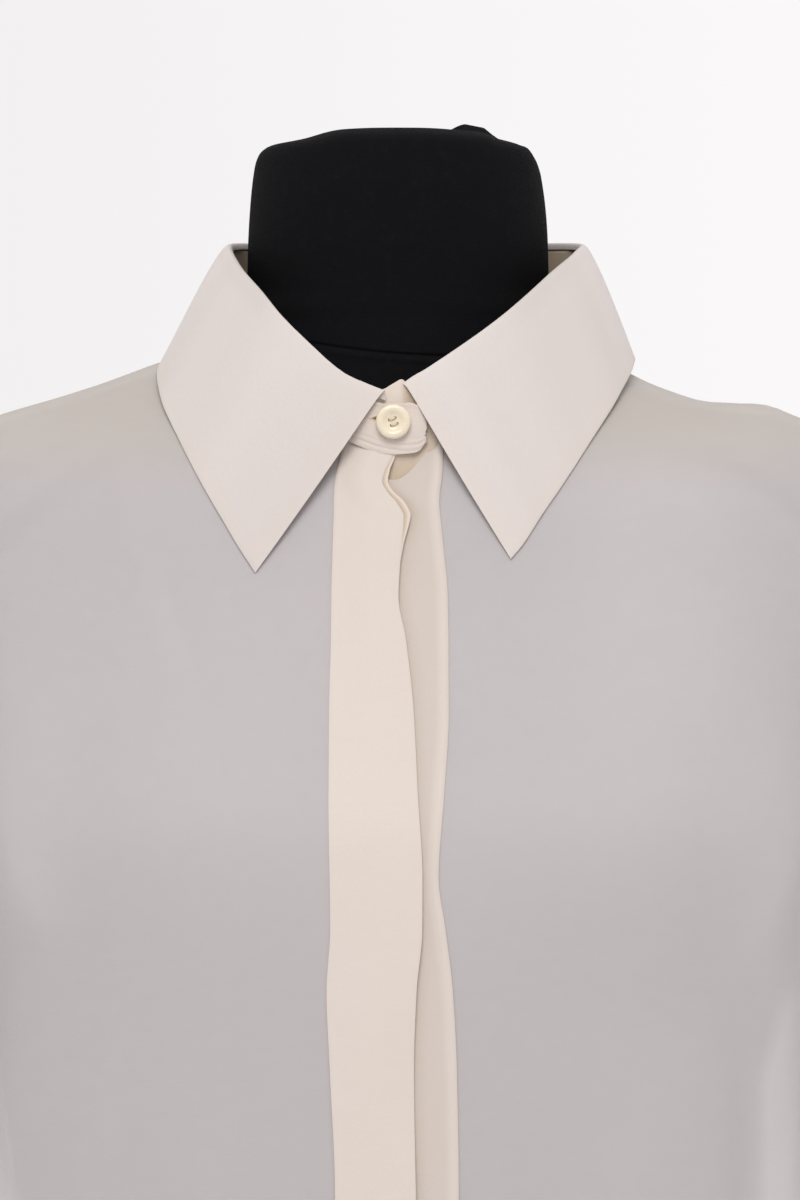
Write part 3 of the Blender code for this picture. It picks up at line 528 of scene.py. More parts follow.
UNDERARM_DROP = 0.238
SHOULDER_TIP_DROP = 0.043
HEM_DROP = 0.680
ARMHOLE_FRONT = math.radians(30)
ARMHOLE_BACK = math.radians(25)
NECKLINE_HALF = 0.0675
NECKLINE_FRONT = 0.0755
NECKLINE_BACK = 0.0605
NECKLINE_FLAT = 0.75
NECK_TUCK = 0.0030  # how far the panels go on inside the stand
CLOTH_LIFT = 0.00035
CLOTH_WALL = 0.0005
SEAM_DIP = 0.0005
SEAM_HALF = 0.0012
ALLOWANCE = 0.007  # pressed seam allowances, which show as a less sheer strip
HEM_DEEP = 0.009
HEM_SEWN = 0.0075  # how far above the edge
SEWN_IN = 0.02  # radians short of the side seam
STITCH_STEP = 0.0024
STITCH_LONG = 0.0017
STITCH_RADIUS = 0.00016
ASKEW = (0.31, 0.17, 0.94)  # a way along which no thread runs

# Hanging folds: where they are as degrees round, half their width in degrees, their depth and the drop at
# which they begin, in millimetres, and how many degrees they lean by at the bottom.
FOLD = "turn width depth begins lean"
BODY_FOLDS = table(
    FOLD,
    (29, 12, 10, 300, 3),
    (52, 14, 14, 270, 4),
    (77, 13, 12, 250, 2),
    (104, 16, 17, 240, -3),
    (131, 14, 12, 260, 3),
    (156, 13, 15, 230, -2),
    (181, 14, 11, 280, 3),
    (207, 15, 17, 230, 3),
    (233, 13, 11, 270, -3),
    (259, 16, 15, 240, 2),
    (285, 14, 12, 260, -3),
    (309, 13, 14, 280, -4),
    (332, 12, 9, 310, -2),
)

# Soft creases: the middle's place along X and its drop, the way it runs as degrees from straight down towards
# the wearer's left, half its length and width, its height (negative in a trough) and its bow, in millimetres.
CREASE = "x drop runs long wide high bow"
BACK_CREASES = table(
    CREASE,
    (-52, 60, -38, 62, 6, 2, 9),
    (-74, 96, -30, 70, 7.6, -1.9, 8),
    (60, 66, 34, 58, 6.8, 1.9, -8),
    (88, 108, 26, 76, 8.5, -2, -9),
    (4, 52, 86, 60, 7.6, -1.6, 6),
    (-10, 118, 4, 90, 10.2, 2.2, 5),
    (-118, 196, -22, 82, 7.6, 2.6, 10),
    (-134, 236, -34, 60, 6, -2.3, 6),
    (122, 204, 25, 78, 7.6, 2.5, -9),
    (136, 246, 36, 58, 6, -2.2, -6),
    (34, 236, 8, 110, 11, 2.9, -6),
    (-42, 262, -6, 130, 11.9, 3.1, 7),
    (78, 300, 5, 120, 10.2, -2.8, 6),
    (-86, 330, -4, 140, 10.2, 2.9, -5),
    (12, 390, 3, 120, 9.3, -2.9, 4),
    (110, 420, 2, 130, 10.2, 3.3, -5),
    (-128, 450, -3, 120, 9.3, -3.1, 4),
    (52, 520, 2, 110, 8.5, 3.1, 3),
    (-58, 560, -2, 100, 7.6, -2.8, -3),
    (-8, 590, 1, 84, 7.6, 2.8, 2),
)


def fold_height(folds, turn, drop, full_drop):
    """How far the hanging folds lift the cloth, more further down, each a raised cosine across its width."""
    total = np.zeros(np.broadcast(turn, drop).shape)
    for fold in folds:
        grown = ramp(drop, fold.begins * MM, full_drop - fold.begins * MM)
        middle = math.radians(fold.turn) + math.radians(fold.lean) * grown
        away = (turn - middle + math.pi) % (2 * math.pi) - math.pi
        hump = np.cos(np.clip(away / math.radians(fold.width), -1, 1) * math.pi) * 0.5 + 0.5
        total = total + fold.depth * MM * grown * hump
    return total


def crease_height(creases, x, drop):
    """The sum of the creases: each is a Gaussian across a line that bows as a parabola, faded to its ends."""
    total = np.zeros(np.broadcast(x, drop).shape)
    for crease in creases:
        run = math.radians(crease.runs)
        off_x = x / MM - crease.x
        off_drop = drop / MM - crease.drop
        along = (off_x * math.sin(run) + off_drop * math.cos(run)) / crease.long
        across = off_x * math.cos(run) - off_drop * math.sin(run) - crease.bow * along**2
        fade = np.clip(1 - along**2, 0, 1) ** 2
        total = total + crease.high * MM * fade * bell(across, crease.wide)
    return total


def squareness(drop):
    """The exponent that squares the body's section."""
    return curve(BODY, "square", np.asarray(drop) / MM)


def how_deep(in_front, drop):
    """How far the body's section reaches from its middle, in front or behind."""
    return np.where(in_front, read(BODY, "front", drop), read(BODY, "back", drop))


def on_body(turn, drop, lift=0.0, creases=()):
    """The blouse's body: the squared oval of its section, moved out along its normal by folds and creases."""
    turn, drop = np.broadcast_arrays(np.asarray(turn, dtype=float), np.asarray(drop, dtype=float))
    half, deep = read(BODY, "half", drop), how_deep(np.cos(turn) > 0, drop)
    x, y = squared(turn, half, deep, squareness(drop))
    away = fold_height(BODY_FOLDS, turn, drop, HEM_DROP) + crease_height(creases, x, drop) + lift
    out_x, out_y = x / half**2, y / deep**2
    size = np.hypot(out_x, out_y)
    x, y = x + away * out_x / size, y + away * out_y / size
    return np.stack([x, y, SHOULDER_Z - drop + uneven(x, y)], axis=-1)


def armhole_turn(drop, cut):
    """The armhole's edge, front or back: 90 degrees at its top and bottom, cut in between them."""
    part = np.clip((drop - SHOULDER_TIP_DROP) / (UNDERARM_DROP - SHOULDER_TIP_DROP), 0, 1)
    return math.pi / 2 - cut * np.sin(math.pi * part**0.85) ** 0.7


def drop_under(x, y):
    """How far down the body's surface lies below each place seen from above, by halving."""
    low = np.full(np.shape(x), -0.020)
    high = np.full(np.shape(x), 0.100)
    for _ in range(40):
        middle = (low + high) / 2
        outside = (x / read(BODY, "half", middle)) ** 2 + (y / how_deep(y < 0, middle)) ** 2 > 1
        low = np.where(outside, middle, low)
        high = np.where(outside, high, middle)
    return (low + high) / 2


def neckline(turn):
    """The neckline: an oval seen from above, flatter in front, dropped onto the body's surface."""
    deep = np.where(np.cos(turn) > 0, NECKLINE_FRONT, NECKLINE_BACK)
    flat = np.where(np.cos(turn) > 0, NECKLINE_FLAT, 1.0)
    x = NECKLINE_HALF * np.sin(turn)
    y = -deep * power(np.cos(turn), flat)
    return np.stack([x, y, SHOULDER_Z - drop_under(x, y)], axis=-1)


def neckline_turns(drops):
    """At each drop, the angle round the body's section at which the neckline crosses it, front or back."""
    line = neckline(np.linspace(0, math.pi, 361))
    line_drop = SHOULDER_Z - line[:, 2]
    order = np.argsort(line_drop)
    x = np.interp(drops, line_drop[order], line[order, 0])
    return np.arcsin(np.clip(x / read(BODY, "half", drops), 0, 1))


def seam_marks(distance):
    """Where a seam is: how far the cloth dips into it, and how much its allowances double the cloth."""
    return -SEAM_DIP * bell(distance, SEAM_HALF), 1 - ease((distance - ALLOWANCE + 0.0008) / 0.0012)


SHEER = colour(0.822, 0.768, 0.768)
SHEER_COOL = colour(0.800, 0.760, 0.772)
SHEER_WARM_SHADED = colour(0.760, 0.700, 0.650)
DOUBLED = colour(0.800, 0.720, 0.665)
ONE_LAYER = 0.575  # alpha of each face of the wall: together they let less than a fifth through
TWO_LAYERS = 0.78


def crepe_face(finish):
    """The pebbled face of crepe over its threads: a bumped normal, the pebbles, and slubs along the weft."""
    cloth = finish.along_cloth()
    threads = [finish.wave(cloth, scale, way, 1.4) for way, scale in (("X", 880.0), ("Y", 760.0))]
    weave = finish.bump(threads[0] * 0.5 + threads[1] * 0.5, 0.00003)
    pebble = finish.noise(cloth, 0.0011, 3.0, 0.6)
    stretched = finish.node("ShaderNodeMapping", {"Vector": cloth, "Scale": (90.0, 160.0, 1.0)})
    slub = finish.noise(stretched, 1.0, 2.0)
    return finish.bump(pebble, 0.00010, weave), pebble, slub


def sheer_crepe():
    """Thin silk crepe with a dry sheen and faint uneven tone. The mark layers is 0 for one layer and 1 for
    two, which are creamier and less sheer, dense is less sheer alone and also carries painted light and
    painted crease shading, and warm yellows the shoulders and darkens them as painted shade."""
    finish = Finish("sheer silk crepe", Sheen_Weight=0.08, Sheen_Roughness=0.45, Specular_IOR_Level=0.25)
    normal, pebble, slub = crepe_face(finish)
    layers = finish.mark("layers")
    blotch = finish.noise(finish.place(), 0.038, 3.0)
    one = finish.mix(blotch, SHEER, SHEER_COOL)
    # The shoulders' warm tone is also darker, as painted shade against the stronger light on their tops.
    tone = finish.mix(layers, finish.mix(finish.mark("warm"), one, SHEER_WARM_SHADED), DOUBLED)
    tone = finish.brightened(tone, 0.99 + 0.02 * slub)
    covered = (layers + finish.mark("dense")).clamped()
    alpha = ONE_LAYER + (TWO_LAYERS - ONE_LAYER) * covered + 0.012 * (slub - 0.5)
    return finish.feed(Base_Color=tone, Roughness=0.54 + 0.16 * pebble, Normal=normal, Alpha=alpha)


def walled(piece, wall, rounded=0.0):
    """Gives a surface its wall, outwards, with its edges rounded where that shows."""
    solid = piece.modifiers.new("wall", "SOLIDIFY")
    solid.thickness = wall
    solid.offset = 1
    solid.use_even_offset = False
    if rounded:
        edge = piece.modifiers.new("edge", "BEVEL")
        edge.width = rounded
        edge.segments = 2
        edge.limit_method = "ANGLE"
        edge.angle_limit = math.radians(50)
    return piece


def hung_rows(top, count):
    """Drops from the top of a panel to its hem, closer together over the shoulder."""
    return spaced((top, 0.050, 44), (0.0525, HEM_DROP, count - 44))


def in_hem(drop):
    """1 in the hem, where the cloth is turned up."""
    return ease((drop - HEM_DROP + HEM_DEEP) / 0.0008)


def raised_off(turn, x, drop, creases):
    """How far folds and creases lift the cloth off the body's section."""
    return crease_height(creases, x, drop) + fold_height(BODY_FOLDS, turn, drop, HEM_DROP)


def stood_off_with_crease_shade(raised):
    """How much less sheer the cloth looks where it stands off what is under it, and more sheer in a trough:
    painted crease shading, which makes ridges paler and troughs darker.
    """
    return 0.24 + 0.62 * np.clip(raised / 0.004, -0.4, 1)


def over_shoulder(drop):
    """1 on top of the shoulder, easing to 0 below it: where the shoulders get their warm tone and painted
    shade.
    """
    return 1 - ramp(drop, 0.026, 0.034)


def silk_thread():
    """Twisted sewing silk."""
    finish = Finish("silk thread", Sheen_Weight=0.2)
    twist = finish.wave(finish.place(), 900.0, "DIAGONAL")
    return finish.feed(
        Base_Color=finish.mix(twist, colour(0.70, 0.56, 0.42), colour(0.86, 0.73, 0.57)),
        Roughness=0.55 + 0.1 * twist,
        Normal=finish.bump(twist, 0.00006),
    )


def tube(name, path, size, material):
    """A round tube of twelve sides along a path, its radius given row by row. Rows of no radius close it to a
    point, and between two of them there is nothing."""
    ahead = unit(np.gradient(path, axis=0))
    aside = unit(np.cross(ahead, ASKEW))
    over = np.cross(aside, ahead)
    turn = full_turn(12)[..., None]
    size = np.asarray(size)[:, None, None]
    points = path[:, None] + size * (np.cos(turn) * aside[:, None] + np.sin(turn) * over[:, None])
    return surface(name, points, material, ring=True, poles=True)


def stitches(name, path, thread):
    """A row of sewing along a path: at even steps, a short spindle of thread half sunk in the cloth."""
    run = np.concatenate([[0], np.cumsum(np.linalg.norm(np.diff(path, axis=0), axis=1))])
    count = int(run[-1] / STITCH_STEP)
    middle = (np.arange(count)[:, None] + 0.5) * run[-1] / count
    at = (middle + np.array([-0.5, -0.32, 0.32, 0.5]) * STITCH_LONG).ravel()
    line = np.stack([np.interp(at, run, path[:, axis]) for axis in range(3)], axis=-1)
    piece = tube(name, line, np.tile([0, STITCH_RADIUS, STITCH_RADIUS, 0], count), thread)
    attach(piece, "root")
    return piece


def hem_stitches(name, turn, creases):
    """The hem's row of sewing, on the outer face of a panel."""
    stitches(name, on_body(turn, HEM_DROP - HEM_SEWN, CLOTH_LIFT + CLOTH_WALL, creases), thread)


def back_panel(silk):
    """The back: each row spans the section between its edges: neckline, shoulder, armhole and side."""
    drop = hung_rows(-0.0128, 210)
    shoulder_drop = SHOULDER_Z - float(neckline(np.array([math.pi / 2]))[0, 2])
    neck = np.minimum(neckline_turns(drop) + NECK_TUCK / NECKLINE_HALF, math.pi / 2)
    span = np.where(drop < shoulder_drop, neck, armhole_turn(drop, ARMHOLE_BACK))[:, None]
    across = np.linspace(-1, 1, 141)[None, :]
    drop = drop[:, None]
    turn = math.pi + span * across
    from_edge = (1 - np.abs(across)) * span * read(BODY, "half", drop)
    dip, doubled = seam_marks(np.where(drop < shoulder_drop, 1.0, from_edge))
    points = on_body(turn, drop, CLOTH_LIFT + dip, BACK_CREASES)
    layers = np.maximum(doubled, in_hem(drop))
    # Painted crease shading: ridges less sheer and paler, troughs darker.
    dense = stood_off_with_crease_shade(raised_off(turn, points[..., 0], drop, BACK_CREASES))
    piece = surface("silk_back", points, silk, layers=layers, dense=dense, warm=over_shoulder(drop))
    hem_stitches("hem_stitches_back", math.pi + (span[-1] - SEWN_IN) * across[0], BACK_CREASES)
    return walled(piece, CLOTH_WALL)


thread = silk_thread()
sheer_silk = sheer_crepe()
back = back_panel(sheer_silk)
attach(back, "root")
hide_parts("back")


# ---- fronts --------------------------------------------------------------------------------------
# Two plain fronts of the same crepe, sewn to the back at shoulders and sides, each with a band along its
# front edge. They lie smoothly over the form's bust, fall in a little under it and hang clear below.

SIDES = ((-1, "right"), (1, "left"))
BAND_TOP_DROP = 0.0440

# The bands' edges along X, in millimetres: both of the top band and the one of the under band that shows.
BANDS = table(
    "drop top_left top_right under_right",
    (42, -20.3, -1.6, 16.2),
    (45.5, -21.0, -3.4, 16.1),
    (49, -21.9, -5.3, 16.0),
    (53, -22.6, -6.2, 15.6),
    (57, -23.0, -4.4, 15.0),
    (61, -23.1, -1.0, 14.8),
    (66, -23.2, 1.5, 15.2),
    (78, -23.5, 0.6, 16.4),
    (95, -23.9, -0.4, 17.8),
    (110, -24.0, 2.2, 18.0),
    (136, -24.5, 5.0, 18.0),
    (165, -24.5, 6.4, 16.3),
    (195, -24.0, 8.0, 14.2),
    (213, -23.8, 7.9, 16.6),
    (235, -25.1, 5.9, 19.2),
    (262, -24.0, 5.0, 20.6),
    (308, -22.1, 5.7, 21.3),
    (380, -23.6, 7.0, 20.2),
    (520, -22.5, 5.5, 21.0),
    (680, -24.0, 7.0, 20.0),
)
BAND_OVERLAP = 0.0016  # how far a front goes on under its band

FRONT_CREASES = table(
    CREASE,
    (-86, 180, 88, 96, 46, 4.6, 8),
    (90, 182, 92, 96, 46, 5.0, 8),
    (-92, 88, 14, 78, 6, 0.5, -5),
    (-74, 118, 18, 62, 5, -0.4, -4),
    (-35, 110, 14, 36, 5, 0.4, 3),
    (-132, 58, -52, 46, 6, 1.0, 5),
    (-142, 74, -46, 44, 6, -0.9, 5),
    (128, 46, 58, 50, 6, 1.2, -6),
    (140, 60, 50, 46, 6, -1.1, -5),
    (112, 74, 40, 48, 8, 0.8, -6),
    (-114, 322, -4, 96, 8, 0.9, 4),
    (-97, 342, -3, 76, 8, -0.9, 4),
    (-148, 340, -2, 96, 8, 1.9, 4),
    (-66, 350, 3, 100, 10, 0.9, -4),
    (84, 340, -3, 90, 10, 0.9, 4),
    (126, 326, 1, 100, 6, -1.5, -3),
    (143, 322, 1, 116, 8, 2.9, -3),
    (38, 330, 2, 110, 9, 0.7, 4),
    (-40, 330, -2, 110, 9, 0.7, -4),
    (-140, 190, 20, 50, 8, 0.8, 6),
    (142, 196, -20, 50, 8, 0.8, -6),
    (-104, 420, -3, 120, 10, 2.0, 5),
    (-52, 450, 2, 130, 10, -1.8, -5),
    (58, 430, -2, 120, 10, 1.9, 5),
    (112, 470, 3, 120, 10, -1.9, -5),
    (-86, 575, -2, 90, 9, 1.8, 3),
    (84, 590, 2, 84, 9, 1.8, -3),
)

# How much paler the fronts are painted, as painted light through less sheerness, than over the middle of the
# form: beside it, and out at the sides where it turns away from the light. And from where along X they are,
# over how far, in millimetres.
PAINTED_PALER_FROM = {"beside": (40, 55), "aside": (104, 38)}
PAINTED_PALER = {
    -1: table(
        "drop beside aside",
        (40, 0.0, 0.05),
        (100, 0.0, 0.10),
        (140, 0.0, 0.35),
        (175, 0.0, 0.45),
        (200, 0.0, 0.55),
        (225, 0.0, 0.20),
        (680, 0.0, 0.20),
    ),
    1: table(
        "drop beside aside",
        (28, 0.00, 0.00),
        (60, 0.36, -0.20),
        (120, 0.30, -0.10),
        (150, 0.18, 0.20),
        (205, 0.08, 0.52),
        (230, 0.08, 0.36),
        (260, 0.14, 0.10),
        (680, 0.22, 0.10),
    ),
}

# The slack under the arms, where the cloth doubles: from where along X and the drop, and how much denser.
PLEAT = "x begins dense"
PLEATS = {-1: table(PLEAT, (135, 256, 0.80))[0], 1: table(PLEAT, (127, 208, 0.85))[0]}
PLEAT_SLANT = 0.30
PLEAT_EDGE = 9
PLEAT_GROWS = 52
HANGS_FROM = 0.325  # where the fronts leave the form
HANGS_OVER = 0.10


def turn_at_x(x, drop):
    """The angle at which the front of the body's section reaches a place along X."""
    beside = np.clip(np.abs(x) / read(BODY, "half", drop), 0, 1)
    return np.sign(x) * np.arcsin(beside ** (squareness(drop) / 2))


def front_panel(side, which, silk):
    """One front: each row spans from its band or the neckline to the shoulder, armhole or side."""
    drop = hung_rows(-0.0050, 240)
    band = read(BANDS, "under_right" if side > 0 else "top_left", drop) - side * BAND_OVERLAP
    neck = np.where(drop < BAND_TOP_DROP, neckline_turns(drop) - NECK_TUCK / read(BODY, "half", drop), 0)
    inner = np.maximum(np.abs(turn_at_x(band, drop)), neck)[:, None]
    outer = armhole_turn(drop, ARMHOLE_FRONT)[:, None]
    across = np.linspace(0, 1, 93)[None, :]
    drop = drop[:, None]
    turn = side * (inner + (outer - inner) * across)
    dip, doubled = seam_marks((1 - across) * (outer - inner) * read(BODY, "half", drop))
    points = on_body(turn, drop, CLOTH_LIFT + dip, FRONT_CREASES)
    layers = np.maximum(doubled, in_hem(drop))
    out, fall = np.abs(points[..., 0]) / MM, drop / MM
    pleat = PLEATS[side]
    slant = PLEAT_SLANT * np.clip(pleat.begins + 62 - fall, 0, 60)
    dense = pleat.dense * ramp(out - pleat.x, slant, PLEAT_EDGE) * ramp(fall, pleat.begins, PLEAT_GROWS)
    # Painted light: less sheer, and so paler, beside the middle and out at the sides.
    for share, (begins, wide) in PAINTED_PALER_FROM.items():
        dense = dense + curve(PAINTED_PALER[side], share, fall) * ramp(out, begins, wide)
    hanging = ramp(drop, HANGS_FROM, HANGS_OVER)
    raised = raised_off(turn, points[..., 0], drop, FRONT_CREASES)
    # Lower down, painted crease shading: ridges less sheer and paler, troughs darker.
    dense = dense * (1 - hanging) + stood_off_with_crease_shade(raised) * hanging
    marks = {"layers": layers, "dense": dense, "warm": over_shoulder(drop)}
    piece = surface(f"silk_front_{which}", points, silk, flip=side < 0, **marks)
    sewn = side * np.linspace(inner[-1, 0] + SEWN_IN, outer[-1, 0] - SEWN_IN, 90)
    hem_stitches(f"hem_stitches_{which}", sewn, FRONT_CREASES)
    return walled(piece, CLOTH_WALL)


fronts = {}
for side, which in SIDES:
    fronts[which] = front_panel(side, which, sheer_silk)
    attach(fronts[which], "root")
    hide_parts(f"front_{which}")


# ---- plackets ------------------------------------------------------------------------------------
# Two bands of doubled silk with a light interfacing, sewn to the fronts' edges. The wearer's right one lies
# over the left one and hides its buttons; its free edge waves, and near the neck its own facing shows.

BAND_WALL = 0.0008
BAND_LIFT = 0.0009  # on the fronts' edges
BAND_SEWN = 0.06  # the share of the top band's width that lies flat beside its seam
BAND_RISEN = 0.66  # where it has climbed onto the under band
BAND_DIP_ENDS = 0.0660
BAND_TUCK = 0.0030  # how far the bands go on up inside the stand
UNDER_BAND_WIDE = 0.029
UNDER_END_DIP = 0.0115  # how far the stand's under end hangs below the neckline
UNDER_END_REACH = 0.0170
FACING_LOWER = 0.0004
BAND_ROUNDING = 0.0002

# The strip of the top band's own facing that shows past its free edge, in millimetres.
FACING = table(
    "drop wide",
    (40, 0.9),
    (45, 1.7),
    (50, 2.4),
    (56, 2.7),
    (60, 3.6),
    (66, 3.0),
    (76, 1.2),
    (88, 0.3),
    (680, 0.3),
)


def neckline_drop(x):
    """The neckline's drop in front, at a place along X."""
    return SHOULDER_Z - neckline(np.arcsin(x / NECKLINE_HALF))[..., 2]


def under_end_dip(x):
    """How far the under end of the stand hangs down at a place along X."""
    return UNDER_END_DIP * (1 - ramp(x, -0.001, UNDER_END_REACH))


SHADED = colour(0.600, 0.480, 0.340)


def doubled_crepe(name, pale, warm):
    """Doubled and interfaced silk crepe, which hides what lies under it, mottled from pale to warm. The mark
    border warms it along a seam and creams the stand's lit under end as painted light, hollow browns it as
    painted shade where it is turned under or lies in shade, and dim greys a lower band as painted shade and
    lightens places as painted light where it is negative."""
    finish = Finish(name, Sheen_Weight=0.08, Sheen_Roughness=0.45, Specular_IOR_Level=0.25)
    normal, pebble, slub = crepe_face(finish)
    blotch = finish.noise(finish.place(), 0.034, 3.0)
    warmed = blotch + 0.45 * finish.mark("border")
    tone = finish.mix(warmed.clamped(), pale, warm)
    # painted shade browns it, and painted shading greys it or lightens it
    tone = finish.mix(finish.mark("hollow"), tone, SHADED)
    tone = finish.brightened(tone, (0.99 + 0.02 * slub) * (1 - 0.13 * finish.mark("dim")))
    return finish.feed(Base_Color=tone, Roughness=0.54 + 0.16 * pebble, Normal=normal)


def band_points(left_at, right_at, across, lift, dip):
    """A band between two edges that vary with the drop: its rows start inside the stand's lower edge, which
    they follow at the top, and become level further down."""
    def x_at(drops):
        return left_at(drops) + (right_at(drops) - left_at(drops)) * across

    rows = spaced((BAND_TOP_DROP, 0.068, 30), (0.070, HEM_DROP, 210))[:, None]
    x = x_at(rows)
    unsettled = np.clip(1 - (rows - BAND_TOP_DROP) / (BAND_DIP_ENDS - BAND_TOP_DROP), 0, 1)
    follow = neckline_drop(x) - neckline_drop(0.0) + dip * under_end_dip(x) - BAND_TUCK
    drops = rows + follow * unsettled
    x = x_at(drops)
    return on_body(turn_at_x(x, drops), drops, lift(x, drops), FRONT_CREASES), drops


def under_band(silk):
    """The wearer's left band, plain, with its other edge out of sight below the top one."""
    def right_at(drop):
        return read(BANDS, "under_right", drop)

    def left_at(drop):
        return right_at(drop) - UNDER_BAND_WIDE

    def lift(x, drop):
        edge = (right_at(drop) - x) / MM
        return BAND_LIFT + 0.00025 * bell(edge - 1.6, 0.9) - 0.0003 * bell(edge, 0.5)

    across = spaced((0, 0.55, 12), (0.58, 1, 40))[None, :]
    points, drop = band_points(left_at, right_at, across, lift, 1)
    x = points[..., 0]
    # Painted shadow browns the band beside the top band's free edge, most near the neck, and painted shade
    # greys it, less at its own free edge and lower down.
    top_edge = read(BANDS, "top_right", drop) + read(FACING, "wide", drop)
    hollow = 0.22 * bell(x - top_edge, 0.0034) * (1 + 1.2 * bell(drop - 0.062, 0.010))
    dim = 1 - 0.75 * ramp(x - right_at(drop), -0.0052, 0.0035) - 0.45 * ramp(drop, 0.130, 0.130)
    piece = surface("silk_placket_under", points, silk, border=0, hollow=hollow, dim=dim)
    return walled(piece, BAND_WALL, BAND_ROUNDING)


def top_band(silk):
    """The wearer's right band. Past its free edge the last columns step down onto its own facing's strip."""
    def left_at(drop):
        return read(BANDS, "top_left", drop)

    def reach_at(drop):
        return read(BANDS, "top_right", drop) + read(FACING, "wide", drop) * strip

    def lift(_, drop):
        wave = 0.00035 * np.sin(drop / 0.0145 + 1.9 * np.sin(drop / 0.052)) * ramp(share, 0.55, 0.45)
        over_under = BAND_LIFT + BAND_WALL + 0.0003
        climb = BAND_LIFT + over_under * ramp(share, BAND_SEWN, BAND_RISEN - BAND_SEWN)
        return climb + wave - 0.0003 * bell(share, 0.03) - FACING_LOWER * step

    face = spaced((0, 0.3, 20), (0.32, 1, 32))
    share = np.concatenate([face, np.ones(5)])[None, :]
    strip = np.concatenate([0 * face, np.linspace(0, 1, 5)])[None, :]
    step = np.concatenate([0 * face, np.ones(5)])[None, :]
    points, drop = band_points(left_at, reach_at, share, lift, 0)
    # Painted shade browns the facing's strip, less on its turned-up edge, and painted light lightens that
    # edge and the band lower down.
    turned_up = ramp(strip, 0.35, 0.50)
    hollow = step * (0.85 - 0.70 * turned_up) * (read(FACING, "wide", drop) > 0.0006)
    dim = -0.05 - 0.37 * ramp(drop, 0.130, 0.140) - 0.5 * turned_up * step
    piece = surface("silk_placket_top", points, silk, border=0, hollow=hollow, dim=dim)
    return walled(piece, BAND_WALL, BAND_ROUNDING)


band_silk = doubled_crepe("silk of the bands", colour(0.775, 0.700, 0.648), colour(0.785, 0.692, 0.618))
bands = {"under": under_band(band_silk), "top": top_band(band_silk)}
for which, piece in bands.items():
    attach(piece, "root")
    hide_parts(f"placket_{which}")


# ---- stand of the collar -------------------------------------------------------------------------
# A band of doubled, interfaced silk sewn to the neckline, its top edge joined to the collar. It starts under
# the middle of the front, goes round by the wearer's left and laps over itself, where it buttons.

# The collar's leaf by its angle from the middle of the front, in degrees and millimetres: half the width, the
# place along Y, the drop and the shift to the wearer's left of its fold line and of its outer edge, and half
# of how much higher the outer edge lies on the wearer's left than on the right.
LEAF = table(
    "turn fold_half fold_y fold_drop fold_shift edge_half edge_y edge_drop edge_shift skew",
    (0, 3.2, -75.0, 18.5, -1.4, 46.2, -86.5, 83.7, -5.4, 2.5),
    (10, 13.8, -74.5, 12.9, -5.6, 51.4, -86.0, 76.5, -5.9, 1.0),
    (22, 25.7, -71.0, 3.5, -3.9, 57.9, -83.8, 66.0, -6.1, 0.3),
    (35, 38.4, -63.0, -8.0, -1.9, 66.2, -79.5, 53.0, -5.6, 0.0),
    (48, 49.0, -51.5, -19.0, -0.3, 75.3, -71.5, 37.5, -4.6, 0.0),
    (60, 57.5, -38.0, -28.0, 0.5, 83.2, -59.0, 23.0, -3.4, 0.0),
    (75, 63.8, -19.0, -35.5, 2.0, 87.9, -31.0, 9.5, -0.9, 0.0),
    (90, 66.0, 0.0, -39.5, 3.0, 88.4, 0.0, 3.0, 1.1, 0.0),
    (110, 62.5, 21.0, -41.5, 2.5, 85.0, 28.0, -0.5, 0.0, 0.0),
    (135, 47.5, 41.0, -42.7, 1.5, 64.0, 56.0, -1.5, 0.0, 0.0),
    (160, 23.0, 54.0, -43.5, 0.5, 31.0, 72.0, -2.0, 0.0, 0.0),
    (180, 0.0, 58.0, -43.7, 0.0, 0.0, 77.0, -2.0, 0.0, 0.0),
)
FOLD_WIDEST = 7  # the row at which the fold line is widest
FOLD_RISE = 0.0042
FOLD_SKEW = 0.0013  # the leaf's end on the wearer's left begins this much higher, and the other one lower
UNDER_END_RISE = 0.0050  # how far the stand's under end stands up between the leaf's two ends
STAND_START = math.radians(-7.5)
STAND_END = math.radians(360 + 12.8)
STAND_LAP = 0.0028
LAP_LOWER = 0.3  # how far the lapped end is lowered, as a share of how far out it lies
STAND_TOP_CORNER = 0.0090
STAND_LOW_CORNER = 0.0035
UNDER_END_LEAN = 0.12
STAND_SUNK = 0.0003  # its lower edge below the panels' outer face


def from_front(turn):
    """The angle from the middle of the front, to either side, in degrees."""
    return np.degrees(np.arccos(np.clip(np.cos(turn), -1, 1)))


def leaf_line(turn, which):
    """The collar's fold line or outer edge at angles from 0 to 360 degrees round the neck."""
    away = from_front(turn)
    side = np.where(np.sin(turn) >= 0, 1.0, -1.0)
    names = ("half", "y", "drop", "shift")
    half, y, drop, shift = (curve(LEAF, f"{which}_{name}", away, "turn") for name in names)
    skew = curve(LEAF, "skew", away, "turn") if which == "edge" else FOLD_SKEW / MM * (1 - ease(away / 12))
    return np.stack([(shift + side * half) * MM, y * MM, SHOULDER_Z - (drop - side * skew) * MM], axis=-1)


def in_front(turn):
    """1 in the middle of the front, easing to 0 a little way round the neck."""
    start = math.cos(math.radians(40))
    return ease((np.cos(turn) - start) / (1 - start))


def stand_top(turn):
    """The stand's upper edge: the fold line less its rise, and level between the leaf's two ends."""
    line = leaf_line(turn, "fold")
    shift = curve(LEAF, "fold_shift", from_front(turn), "turn") * MM
    x = LEAF[FOLD_WIDEST].fold_half * MM * np.sin(turn) + shift
    front_fold = leaf_line(np.radians(np.linspace(-89.9, 89.9, 120)), "fold")
    z = np.where(np.cos(turn) > 0, np.interp(x, front_fold[:, 0], front_fold[:, 2]), line[..., 2])
    return np.stack([x, line[..., 1] + SEAM_GAP, z - FOLD_RISE - 3 * SEAM_GAP * in_front(turn)], axis=-1)


